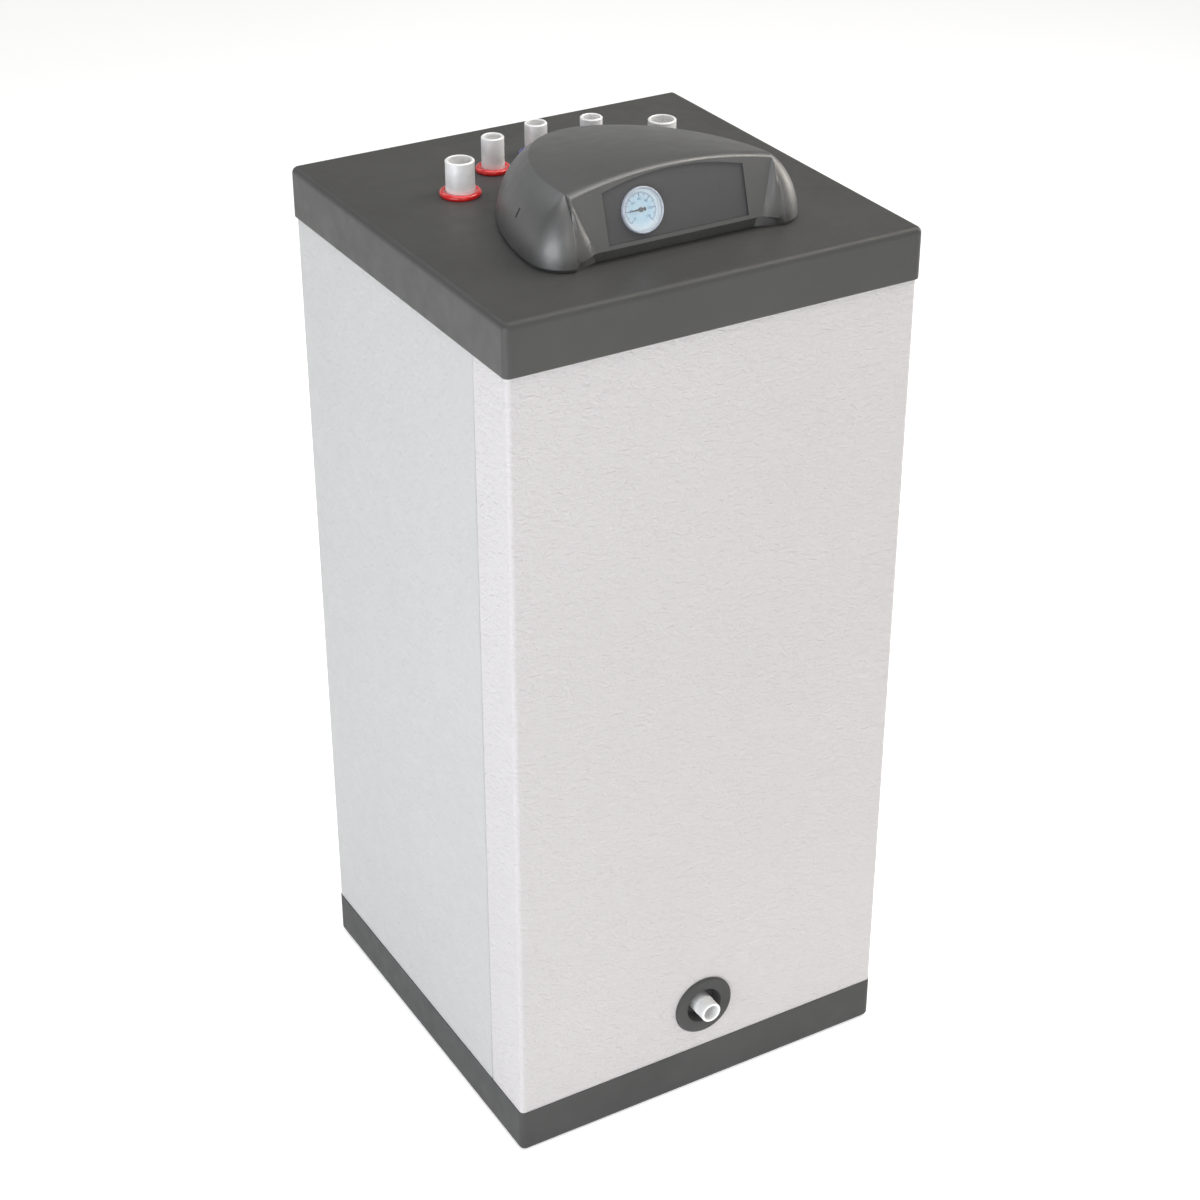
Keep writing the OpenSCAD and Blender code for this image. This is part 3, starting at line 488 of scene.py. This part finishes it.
# ---------------------------------------------------------------- top cover
STUBS = ("heating_inlet", "hot_water_outlet", "cold_water_inlet", "circulation_inlet",
         "heating_outlet")
COVER_EDGE = 0.008          # radius of its upright and top edges
COVER_TOP = 0.003           # thickness of its top
COVER_WALL = 0.0029
SHOULDER, SHOULDER_H = 0.007, 0.010     # the thicker top of its wall
STUB_GAP = 0.002            # round each pipe end
ACCESS_R = 0.094            # opening to the flange, under the console
THROUGH = (HEIGHT - 0.02, HEIGHT + 0.01)

cover_rings = []
for inset, z in ([(0.0125, HEIGHT - COVER_TOP), (SHOULDER, HEIGHT - COVER_TOP),
                  (SHOULDER, HEIGHT - SHOULDER_H), (COVER_WALL, HEIGHT - SHOULDER_H),
                  (COVER_WALL, COVER_Z + 0.0003), (COVER_WALL - 0.0003, COVER_Z),
                  (0.0007, COVER_Z), (0.0002, COVER_Z + 0.0002), (0.0, COVER_Z + 0.0007),
                  (0.0, COVER_Z + 0.0025), (0.0, HEIGHT - COVER_EDGE - EASE)]
                 + [(COVER_EDGE - x, z)
                    for x, z in arc(0, HEIGHT - COVER_EDGE, COVER_EDGE, 0, 90)]
                 + [(COVER_EDGE + EASE, HEIGHT), (COVER_EDGE + 0.012, HEIGHT)]):
    cover_rings.append(square_ring(WIDTH - 2 * inset, COVER_EDGE - inset, z))
cover = loft("cover_shell", cover_rings, "dark")
for stub in STUBS:
    c, half = centre_of(stub)
    cut(cover, *prism(circle(c.x, c.y, half.x + STUB_GAP), *THROUGH))
cut(cover, *prism(circle(0, 0, ACCESS_R, 96), *THROUGH))
smooth(cover)
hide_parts("top_cover")

# ---------------------------------------------------------------- base tray
tlo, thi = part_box("base_tray")
TRAY_W = thi.x - tlo.x
TRAY_H = thi.z
TRAY_CORNER = 0.008         # radius of its upright edges
TRAY_EDGE = 0.007           # radius of its lower edge
TRAY_FLOOR = 0.004
TRAY_WALL = 0.005
LIP, LIP_Z = 0.0009, 0.042  # the thinner rim that the casing stands in
FOOT_HOLE_R = 0.022

tray_rings = []
for inset, z in ([(0.030, 0.0), (TRAY_EDGE + EASE, 0.0)]
                 + [(TRAY_EDGE - x, TRAY_EDGE + z) for x, z in arc(0, 0, TRAY_EDGE, -90, 0)]
                 + [(0.0, TRAY_EDGE + EASE), (0.0, TRAY_H - 0.0012), (0.0001, TRAY_H - 0.0004),
                    (0.0003, TRAY_H), (LIP - 0.0001, TRAY_H), (LIP, TRAY_H - 0.0003),
                    (LIP, LIP_Z), (TRAY_WALL, LIP_Z), (TRAY_WALL, TRAY_FLOOR + 0.0015),
                    (TRAY_WALL + 0.0015, TRAY_FLOOR), (0.030, TRAY_FLOOR)]):
    tray_rings.append(square_ring(TRAY_W - 2 * inset, TRAY_CORNER - inset, z))
tray = loft("base_shell", tray_rings, "base")
for i in (1, 2, 3, 4):
    c, half = centre_of(f"levelling_foot_{i}")
    cut(tray, *prism(circle(c.x, c.y, FOOT_HOLE_R), -0.01, TRAY_FLOOR - 0.0005))
smooth(tray)
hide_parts("base_tray")

# ---------------------------------------------------------------- casing sheets
plo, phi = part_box("front_panel")
slo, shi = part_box("side_back_panel")
CASE_W = phi.x - plo.x
SEAM_F = phi.y              # end of the front panel's sides
SEAM_B = slo.y              # front end of the side and back panel
SHEET = 0.0009              # sheet thickness, a little under the CAD sheet's
BEND = 0.006                # outer radius of a casing corner
FOLD_F, FOLD_B = 0.00132, 0.0022    # radii of the two folds at a seam
HEM = 0.008
SHEET_STEP = 0.002          # from a sheet's end to the ring that keeps its flat flat
DRAIN_HOLE_R = 0.028


def folded_path(front):
    """Outer line of a sheet in plan, from one hem round the corners to the other."""
    h = CASE_W / 2
    if front:
        pts = [(-h + HEM, SEAM_F)]
        pts += [(-h + FOLD_F + x, SEAM_F - FOLD_F + y)
                for x, y in arc(0, 0, FOLD_F, 90, 180, 6)]
        pts += [(-h, -h + BEND + EASE)]
        pts += [(-h + BEND + x, -h + BEND + y) for x, y in arc(0, 0, BEND, 180, 270, 10)]
        pts += [(-h + BEND + EASE, -h)]
    else:
        pts = [(-h + HEM, SEAM_B)]
        pts += [(-h + FOLD_B + x, SEAM_B + FOLD_B + y) for x, y in arc(0, 0, FOLD_B, 270, 180)]
        pts += [(-h, SEAM_B + FOLD_B + 0.002), (-h, h - BEND - EASE)]
        pts += [(-h + BEND + x, h - BEND + y) for x, y in arc(0, 0, BEND, 180, 90, 10)]
        pts += [(-h + BEND + EASE, h)]
    return pts + [(-x, y) for x, y in reversed(pts)]


def inner_path(pts, t, inward):
    """The same line moved inwards by the sheet's thickness."""
    out = []
    n = len(pts)
    for i, (x, y) in enumerate(pts):
        a, b = Vector(pts[max(i - 1, 0)]), Vector(pts[min(i + 1, n - 1)])
        d = (b - a).normalized()
        out.append((x - inward * d.y * t, y + inward * d.x * t))
    return out


def sheet_piece(name, front, finish, z0, z1):
    line = folded_path(front)
    ring = line + list(reversed(inner_path(line, SHEET, 1 if front else -1)))
    levels = [z0, z0 + SHEET_STEP, z1 - SHEET_STEP, z1]
    return loft(name, [[(x, y, z) for x, y in ring] for z in levels], finish, SHEET_ANGLE)


front = sheet_piece("front_sheet", True, "front", plo.z, phi.z)
dc, dhalf = centre_of("drain_rosette")
cut(front, *prism(circle(0, 0, DRAIN_HOLE_R, 64), -CASE_W / 2, 0.1,
                  turned((dc.x, -CASE_W / 2, dc.z), 90, "X")))
smooth(front, SHEET_ANGLE)
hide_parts("front_panel")
side = sheet_piece("side_sheet", False, "side", slo.z, shi.z)
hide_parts("side_back_panel")

# ---------------------------------------------------------------- console
# The skin is a grid of columns, anticlockwise from the right end (rear skirt, left ear, front,
# right ear), and rows from the top face down. w moves a point inwards, for the inside.
TX, FX = 0.126, 0.165               # half widths of the top face and of the foot
TOP_Y, FOOT_Y = -0.147, -0.140      # front ends of the two rear eggs
TOP_DEPTH, TOP_POWER = 0.224, 1.79
FOOT_DEPTH, FOOT_POWER = 0.244, 1.85
CORNER_H, ARCH = 0.075, 0.0135      # height at the front corners, and the middle's rise
CROWN_FALL, CROWN_SAG = 0.0745, 0.362   # slope and curve of the top face towards the rear
FRONT_Y, FRONT_Z, TILT = -0.175, 0.014, math.radians(16.3)      # foot of the leaning front
FOOT_SET = -0.166                   # the recessed strip below it
TAPER = 0.17                        # by which the front narrows downwards
BEVEL_H = 0.0044                    # rounded band along the front's top edge
WALL = 0.0025
TUCK, TUCK_H = 0.002, 0.004         # the skirt's roll at its foot
LEAN0 = math.radians(30)            # where the skirt's quarter turn starts
SPREAD = 0.35                       # how much closer the columns stand at the ends
STEPS, ROWS, CAP = 60, 22, 8        # columns of rear and front, rows, strips of the top face
BAND = 8                            # rows of the bevel band
EAR, EAR_FRONT = 14, 0.041          # columns of an ear's egg, and its reach forwards
RIDGE = Vector((0.1290, -0.1800))   # where the ear folds into its leaf
INNER_X = 0.1077                    # the same for the inside
LENS, LENS_SWELL = 8, 0.0028        # columns of a leaf, and its bulge
EARS = EAR + 1 + LENS
COLS = 2 * STEPS + 2 * EARS
HAIR = 0.00001                      # keeps the taper's divisor above zero


def crown(x, y):
    """Height of the top face."""
    return (CORNER_H + ARCH * (1 - (x / TX) ** 2) - CROWN_FALL * (y - TOP_Y)
            - CROWN_SAG * (y - TOP_Y) ** 2)


def egg(a, b, n, t):
    """Point at angle t of a half superellipse, a wide to each side and b deep."""
    c, s = math.cos(t), max(math.sin(t), 0.0)
    return a * math.copysign(abs(c) ** (2 / n), c), b * s ** (2 / n)


def lean(k):
    return LEAN0 + (math.pi / 2 - LEAN0) * k / ROWS


def bulge(k):
    """How far row k is out towards the foot, 0 to 1."""
    return (math.sin(lean(k)) - math.sin(LEAN0)) / (1 - math.sin(LEAN0))


def sink(k):
    """Height of row k, as a part of the height of the top face."""
    return math.cos(lean(k)) / math.cos(LEAN0)


def fascia_y(z):
    return FRONT_Y + (z - FRONT_Z) * math.tan(TILT)


def foot_tuck(z):
    """The skirt rolls under in its last millimetres, which leaves a shadow gap."""
    return TUCK * max(0.0, 1 - z / TUCK_H) ** 2


def rear_point(i, k, w):
    """The dome's skirt, from the top face's egg to the foot's."""
    t = (math.pi * (0.5 - 0.5 * math.cos(math.pi * i / STEPS)) * SPREAD
         + math.pi * i / STEPS * (1 - SPREAD))
    px, py = egg(TX - w, TOP_DEPTH - 2 * w, TOP_POWER, t)
    py += TOP_Y + w
    qx, qy = egg(FX - w, FOOT_DEPTH - w, FOOT_POWER, t)
    qy += FOOT_Y
    z = (crown(px, py) - w) * sink(k)
    u = bulge(k)
    x, y = px + (qx - px) * u, py + (qy - py) * u
    if not w:
        d = Vector((qx - px, qy - py))
        if d.length > 1e-6:
            d = d.normalized() * foot_tuck(z)
            x, y = x - d.x, y - d.y
    return Vector((x, y, z))


def ear_line(i, w):
    """Foot of an ear, from the skirt's end to its ridge."""
    if w > 0:
        t = math.pi / 2 * i / EARS
        return Vector((INNER_X - w + (FX - INNER_X) * math.cos(t),
                       FOOT_Y - (FOOT_Y - FOOT_SET - w) * math.sin(t)))
    if i > EAR:
        return RIDGE
    t = math.pi / 2 * i / (EAR + 0.5)
    return Vector((RIDGE.x + (FX - RIDGE.x) * math.cos(t), FOOT_Y - EAR_FRONT * math.sin(t)))


def ear_point(i, k, w, side_of):
    """The ear's egg, then a leaf from its ridge to the edge of the leaning front."""
    p = Vector((TX - w, TOP_Y + w))
    q = ear_line(i, w)
    z = (CORNER_H - w) * sink(k)
    c = p + (q - p) * bulge(k)
    if not w:
        c -= (q - p).normalized() * foot_tuck(z)
    c = Vector((c.x, c.y, z))
    if i > EAR + 1 and not w:
        lens = (i - EAR - 1) / LENS
        e = front_point(0, k, 0.0)
        e.x = -e.x
        c += (e - c) * lens
        c.y -= LENS_SWELL * math.sin(math.pi * lens ** 1.4) * math.sin(math.pi * k / ROWS)
    return Vector((side_of * c.x, c.y, c.z))


def front_point(i, k, w):
    """Bevel band, leaning front, and the recessed strip at its foot."""
    x0 = (TX - w) * (2 * i / STEPS - 1)
    top = crown(x0, TOP_Y) - w
    low = FRONT_Z + w
    drop = BEVEL_H if not w else BEVEL_H / 3
    if k <= BAND:
        t = math.pi / 2 * k / BAND
        y_end = fascia_y(top - drop) + w / math.cos(TILT)
        y = TOP_Y + w + (y_end - TOP_Y - w) * math.sin(t)
        z = top - drop * (1 - math.cos(t))
    elif k < ROWS - 1:
        z = top - drop - (top - drop - low) * (k - BAND) / (ROWS - 2 - BAND)
        y = fascia_y(z) + w / math.cos(TILT)
    elif k == ROWS - 1:
        z, y = low - 0.0005, FOOT_SET + w
    else:
        z, y = 0.0, FOOT_SET + w
    return Vector((x0 * (1 - TAPER * (top - z) / (top - low + HAIR)), y, z))


def skin_point(c, k, w):
    """Column c of row k, going round."""
    if c <= STEPS:
        return rear_point(c, k, w)
    if c <= STEPS + EARS:
        return ear_point(c - STEPS, k, w, -1)
    if c < 2 * STEPS + EARS:
        return front_point(c - STEPS - EARS, k, w)
    return ear_point(COLS - c, k, w, 1)


def top_index(c):
    """Vertex of the top face's rim at column c; a whole ear starts from one corner."""
    d = c % COLS
    if d <= STEPS:
        return d
    if d <= STEPS + EARS:
        return STEPS
    return d - EARS if d < 2 * STEPS + EARS else 0


def low_index(c, k):
    """Vertex of column c in row k, below the rim."""
    return 2 * STEPS + (k - 1) * COLS + c % COLS


def cap_index(i, j):
    """Vertex of the top face on strip j, from the rear rim to the front one."""
    if j == 0:
        return i
    if j == CAP:
        return 2 * STEPS - i
    return 2 * STEPS + ROWS * COLS + (i - 1) * (CAP - 1) + j - 1


def skin(w):
    """All points: the top face's rim, the rows below it, then the top face."""
    pts = [rear_point(i, 0, w) for i in range(STEPS + 1)]
    pts += [front_point(i, 0, w) for i in range(1, STEPS)]
    pts += [skin_point(c, k, w) for k in range(1, ROWS + 1) for c in range(COLS)]
    for i in range(1, STEPS):
        r, f = rear_point(i, 0, w), front_point(STEPS - i, 0, w)
        for j in range(1, CAP):
            p = r + (f - r) * j / CAP
            pts.append(Vector((p.x, p.y, crown(p.x, p.y) - w)))
    return pts


def skin_faces():
    out = []
    for c in range(COLS):
        a, b = top_index(c), top_index(c + 1)
        rim = (a,) if a == b else (a, b)
        out.append((*rim, low_index(c + 1, 1), low_index(c, 1)))
    for k in range(1, ROWS):
        for c in range(COLS):
            out.append((low_index(c, k), low_index(c + 1, k),
                        low_index(c + 1, k + 1), low_index(c, k + 1)))
    for i in range(1, STEPS - 1):
        for j in range(CAP):
            out.append((cap_index(i, j), cap_index(i, j + 1),
                        cap_index(i + 1, j + 1), cap_index(i + 1, j)))
    for j in range(CAP):
        out.append((0, cap_index(1, j + 1), cap_index(1, j)))
        out.append((STEPS, cap_index(STEPS - 1, j), cap_index(STEPS - 1, j + 1)))
    return out


up = Vector((0, 0, HEIGHT))
points = [p + up for p in skin(0.0) + skin(WALL)]
n = len(points) // 2
outer_faces = skin_faces()
shell_faces = outer_faces + [tuple(v + n for v in reversed(f)) for f in outer_faces]
shell_faces += [(low_index(c, ROWS), low_index(c + 1, ROWS), low_index(c + 1, ROWS) + n,
                 low_index(c, ROWS) + n) for c in range(COLS)]
console = new_mesh("console_shell", points, shell_faces, "console", angle=CONSOLE_ANGLE)


def on_fascia(x, z):
    """Frame on the leaning front: local X across, Y up along it, Z out of it."""
    return (Matrix.Translation((x, fascia_y(z), HEIGHT + z))
            @ Matrix.Rotation(math.pi / 2 - TILT, 4, "X"))


FASCIA_HALF = 0.0875        # half width of the plate's opening
FASCIA_TOP = 0.084          # its top edge's height in the middle
FASCIA_ARCH = 0.0125        # by which that edge falls to each side
FASCIA_STEPS = 24
CLIP_X, CLIP_Y, CLIP_Z, CLIP_LEAN = 0.145, -0.0888, 0.0371, -26
CLIP_HALF = (0.009, 0.0021, 0.0056)
GROMMET_HOLE_R = 0.0071
ON_RIM = 1e-5               # how near a vertex on the rim is to it


def fascia_outline():
    """Opening for the fascia plate, in the leaning front's frame from its foot up."""
    low = 0.0026 / math.cos(TILT) + 0.0055 * math.tan(TILT)
    high = (FASCIA_TOP - FRONT_Z) / math.cos(TILT)
    pts = [(-FASCIA_HALF, low), (FASCIA_HALF, low)]
    for i in range(FASCIA_STEPS, -FASCIA_STEPS - 1, -1):
        part = i / FASCIA_STEPS
        pts.append((FASCIA_HALF * part, high - FASCIA_ARCH * part ** 2))
    return pts


def crisp_rim(obj):
    """Keeps the fold between the top face and the skirt, all round behind."""
    rim = [rear_point(i, 0, 0.0) + up for i in range(STEPS + 1)]
    tree = kdtree.KDTree(len(rim))
    for i, p in enumerate(rim):
        tree.insert(p, i)
    tree.balance()
    bm = bmesh.new()
    bm.from_mesh(obj.data)
    for e in bm.edges:
        if all(tree.find(v.co)[2] < ON_RIM for v in e.verts):
            e.smooth = False
    bm.to_mesh(obj.data)
    bm.free()


cut(console, *prism(fascia_outline(), -0.0035, 0.006, on_fascia(0, FRONT_Z)))
for s in (-1, 1):
    hx, hy, hz = CLIP_HALF
    cut(console, *prism([(-hx, -hy), (hx, -hy), (hx, hy), (-hx, hy)], -hz, hz,
                        turned((s * CLIP_X, CLIP_Y, HEIGHT + CLIP_Z), CLIP_LEAN * s, "Y")))
gc = centre_of("cable_grommet")[0]
cut(console, *prism(circle(0, 0, GROMMET_HOLE_R, 32), -0.02, 0.03, turned(gc, -90, "X")))
smooth(console, CONSOLE_ANGLE)
crisp_rim(console)
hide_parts("console_housing")

# ---------------------------------------------------------------- thermometer
g_at = on_fascia(-0.0412, 0.047)
GAUGE_R = 0.025
RIM_R = 0.0012              # roundness of the bezel's edge
DIAL_OUT, DIAL_IN = 0.0222, 0.0012
DIAL_Z = -WALL - 0.003
INK = 0.00006               # thickness of the print
SCALE_START, SCALE_SWEEP, SCALE_TOP = 225, 270, 120     # degrees, degrees, highest number
TICK_R, TRACK_R = 0.0184, 0.0187    # outer ends of the ticks and of the line round them
TRACK_STEPS = 108
NUMBER_R, NUMBER_SIZE = 0.0116, 0.0042

bezel = lathe("gauge_rim",
              [(GAUGE_R - 0.0024, 0.0003), (GAUGE_R - 0.0009, 0.0003),
               (GAUGE_R - 0.0009, -WALL), (GAUGE_R, -WALL), (GAUGE_R, 0.0004)]
              + arc(GAUGE_R - RIM_R, 0.0004, RIM_R, 15, 100, 6)
              + [(GAUGE_R - 0.0020, 0.0012)], "rim", g_at)
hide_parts("gauge_bezel")
dial = lathe("dial_disc", [(DIAL_IN + 0.0004, DIAL_Z - 0.0005), (DIAL_OUT, DIAL_Z - 0.0005),
                           (DIAL_OUT, DIAL_Z), (DIAL_IN, DIAL_Z)], "dial", g_at)
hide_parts("gauge_dial")


def flat_strips(strips, z, t, name, finish, at):
    """One mesh of many outlines, each raised by t from z."""
    verts, fs = [], []
    for s in strips:
        b = len(verts)
        v, f = prism(s, z, z + t)
        verts += v
        fs += [tuple(b + i for i in face) for face in f]
    return new_mesh(name, verts, fs, finish, angle=20.0, at=at)


def radial(a, r0, r1, w):
    """A stroke 2 w wide from r0 to r1 at angle a."""
    c, s = math.cos(a), math.sin(a)
    return [(r0 * c + w * s, r0 * s - w * c), (r1 * c + w * s, r1 * s - w * c),
            (r1 * c - w * s, r1 * s + w * c), (r0 * c - w * s, r0 * s + w * c)]


def scale_angle(part):
    return math.radians(SCALE_START - part * SCALE_SWEEP)


marks = []
for value in range(0, SCALE_TOP + 1, 2):
    if value % 20 == 0:
        inner, half = 0.0142, 0.00036
    elif value % 10 == 0:
        inner, half = 0.0154, 0.00026
    else:
        inner, half = 0.0168, 0.00014
    marks.append(radial(scale_angle(value / SCALE_TOP), inner, TICK_R, half))
for i in range(TRACK_STEPS):
    a0, a1 = scale_angle(i / TRACK_STEPS), scale_angle((i + 1) / TRACK_STEPS)
    marks.append([(r * math.cos(a), r * math.sin(a)) for r, a in
                  ((TICK_R, a0), (TRACK_R, a0), (TRACK_R, a1), (TICK_R, a1))])
ink = flat_strips(marks, DIAL_Z, INK, "dial_marks", "ink", g_at)
for value in range(0, SCALE_TOP + 1, 20):
    a = scale_angle(value / SCALE_TOP)
    letters = bpy.data.curves.new(f"number_{value}", "FONT")
    letters.body = str(value)
    letters.size = NUMBER_SIZE
    letters.extrude = INK / 2
    letters.align_x = letters.align_y = "CENTER"
    text = bpy.data.objects.new(f"number_{value}", letters)
    scene.collection.objects.link(text)
    me = evaluated_mesh(text)
    bpy.data.objects.remove(text)
    num = bpy.data.objects.new(f"dial_number_{value}", me)
    me.materials.clear()
    me.materials.append(M["ink"])
    scene.collection.objects.link(num)
    num.matrix_world = g_at @ Matrix.Translation((NUMBER_R * math.cos(a), NUMBER_R * math.sin(a),
                                                  DIAL_Z + 0.00004))
    bpy.context.view_layer.update()
    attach(num, "heater")

# The hand's half width along it: its tip is at -X, as in the photo, and its tail is round.
HAND = [(-0.0148, 0.00025), (-0.0100, 0.00055), (-0.0030, 0.0010), (0.0030, 0.0009),
        (0.0038, 0.0016), (0.0048, 0.0020), (0.0059, 0.0016), (0.0064, 0.0)]
HAND_T = 0.0007
HAND_Z = DIAL_Z + 0.0006
hand = HAND + [(x, -y) for x, y in reversed(HAND[:-1])]
pv, pf = prism(list(reversed(hand)), HAND_Z, HAND_Z + HAND_T)
pointer = new_mesh("pointer_hand", pv, pf, "black", "pointer", 30.0, g_at)
hub_cap = lathe("pointer_hub", [(0.0001, HAND_Z - 0.0002), (0.0026, HAND_Z - 0.0002),
                                (0.0026, HAND_Z + 0.0009), (0.0022, HAND_Z + 0.0013),
                                (0.0012, HAND_Z + 0.0015), (0.0001, HAND_Z + 0.00155)],
                "black", g_at, body="pointer", steps=40)
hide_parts("gauge_pointer")

# ---------------------------------------------------------------- drain rosette
r_at = turned((dc.x, -CASE_W / 2, dc.z), 90, "X")
ROSETTE_R = dhalf.x
ROSETTE_EDGE = 0.0030       # roundness of its outer edge
CUP_Z, CUP_BACK = -0.0120, -0.0145      # its recessed middle, front and back
PIPE_HOLE_R = 0.0134
NECK_R = 0.0275             # the part inside the casing's hole
profile = [(PIPE_HOLE_R, CUP_BACK), (NECK_R, CUP_BACK), (NECK_R, -0.0008),
           (ROSETTE_R - 0.0034, 0.0), (ROSETTE_R - 0.0002, 0.0), (ROSETTE_R, 0.0003)]
profile += [(ROSETTE_R - ROSETTE_EDGE + x, 0.0004 + z)
            for x, z in arc(0, 0, ROSETTE_EDGE, 6, 84, 7)]
profile += [(ROSETTE_R - 0.0040, 0.0034), (0.0252, 0.0031), (0.0243, 0.0028), (0.0238, 0.0018),
            (0.0205, CUP_Z + 0.0008), (0.0195, CUP_Z), (PIPE_HOLE_R, CUP_Z)]
rosette = lathe("rosette_rim", profile, "base", r_at)
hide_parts("drain_rosette")

# ---------------------------------------------------------------- camera and studio
CAMERA_AT = (-1.3407, -2.3062, 2.1381)      # fitted to the casing's corners in the photo
CAMERA_LENS, CAMERA_SENSOR = 75.73, 36.0
RIGHT = Vector((0.864035, -0.503431, -0.000412))
DOWN = Vector((-0.254903, -0.436781, -0.862698))
AHEAD = Vector((0.434129, 0.745506, -0.505720))
cam_data = bpy.data.cameras.new("camera")
cam_data.sensor_width = CAMERA_SENSOR
cam_data.lens = CAMERA_LENS
cam_data.clip_start, cam_data.clip_end = 0.05, 100
cam = bpy.data.objects.new("camera", cam_data)
scene.collection.objects.link(cam)
cam.matrix_world = Matrix([(RIGHT[i], -DOWN[i], -AHEAD[i], CAMERA_AT[i]) for i in range(3)]
                          + [(0, 0, 0, 1)])
scene.camera = cam


def softbox(name, at, aim, size, power, colour):
    """A rectangular light at one point, facing another."""
    d = bpy.data.lights.new(name, "AREA")
    d.shape = "RECTANGLE"
    d.size, d.size_y = size
    d.energy = power
    d.color = colour
    o = bpy.data.objects.new(name, d)
    scene.collection.objects.link(o)
    o.location = at
    o.rotation_mode = "QUATERNION"
    o.rotation_quaternion = (Vector(aim) - Vector(at)).to_track_quat("-Z", "Y")


COOL, WARM = (0.92, 0.96, 1.0), (1.0, 0.95, 0.86)
softbox("left_window", (-2.9, -1.35, 1.05), (0, 0, 0.95), (2.4, 1.5), 53, COOL)
softbox("front_box", (-0.6, -3.6, 2.6), (0, 0, 0.8), (1.8, 1.2), 18, (1.0, 0.99, 0.97))
softbox("right_window", (3.1, -0.25, 1.9), (0, 0, 1.1), (1.5, 2.2), 46, WARM)
softbox("high_right", (1.99, -0.72, 3.63), (0, 0, 1.1), (2.0, 1.3), 40, (1.0, 0.95, 0.87))
softbox("back_left", (-0.9, 2.5, 3.2), (0, 0, 1.1), (1.6, 1.2), 9, COOL)
softbox("top", (0, 0, 4.4), (0, 0, 0), (3.0, 3.0), 60, (1.0, 1.0, 1.0))

# The sky is bright at the horizon, so that no dark strip shows behind the floor, and dim above.
HORIZON, ABOVE = (0.02, 0.80), (0.24, 0.27)     # height of a direction, and strength there
world = bpy.data.worlds.new("studio")
world.use_nodes = True
wt = world.node_tree
sky = wt.nodes["Background"]
sky.inputs["Color"].default_value = (1, 1, 1, 1)
direction = wt.nodes.new("ShaderNodeTexCoord").outputs["Generated"]
height_of = wt.nodes.new("ShaderNodeSeparateXYZ")
glow = wt.nodes.new("ShaderNodeMapRange")
glow.interpolation_type = "SMOOTHSTEP"
for k, v in (("From Min", HORIZON[0]), ("From Max", ABOVE[0]),
             ("To Min", HORIZON[1]), ("To Max", ABOVE[1])):
    glow.inputs[k].default_value = v
wt.links.new(direction, height_of.inputs["Vector"])
wt.links.new(height_of.outputs["Z"], glow.inputs["Value"])
wt.links.new(glow.outputs["Result"], sky.inputs["Strength"])
scene.world = world
scene.view_settings.view_transform = "Standard"

FLOOR_HALF = 300            # metres, so that its end is below the horizon's glow
FLOOR_Z = -0.0004           # a hair below the tray
FLOOR_GLOW = 0.52
floor_me = bpy.data.meshes.new("studio_floor")
floor_me.from_pydata([(x * FLOOR_HALF, y * FLOOR_HALF, FLOOR_Z)
                      for x, y in ((-1, -1), (1, -1), (1, 1), (-1, 1))], [], [(0, 1, 2, 3)])
fg = Graph("studio_floor", 0.85, spec=0.2)
fg.colour(fg.ramp(fg.noise(0.6, 2.0), [(0.3, (0.93, 0.93, 0.93)), (0.7, (0.96, 0.96, 0.96))]))
fg.s.inputs["Emission Color"].default_value = (1, 1, 1, 1)
fg.s.inputs["Emission Strength"].default_value = FLOOR_GLOW
floor_me.materials.append(fg.m)
floor = bpy.data.objects.new("studio_floor", floor_me)
scene.collection.objects.link(floor)

bpy.context.view_layer.update()
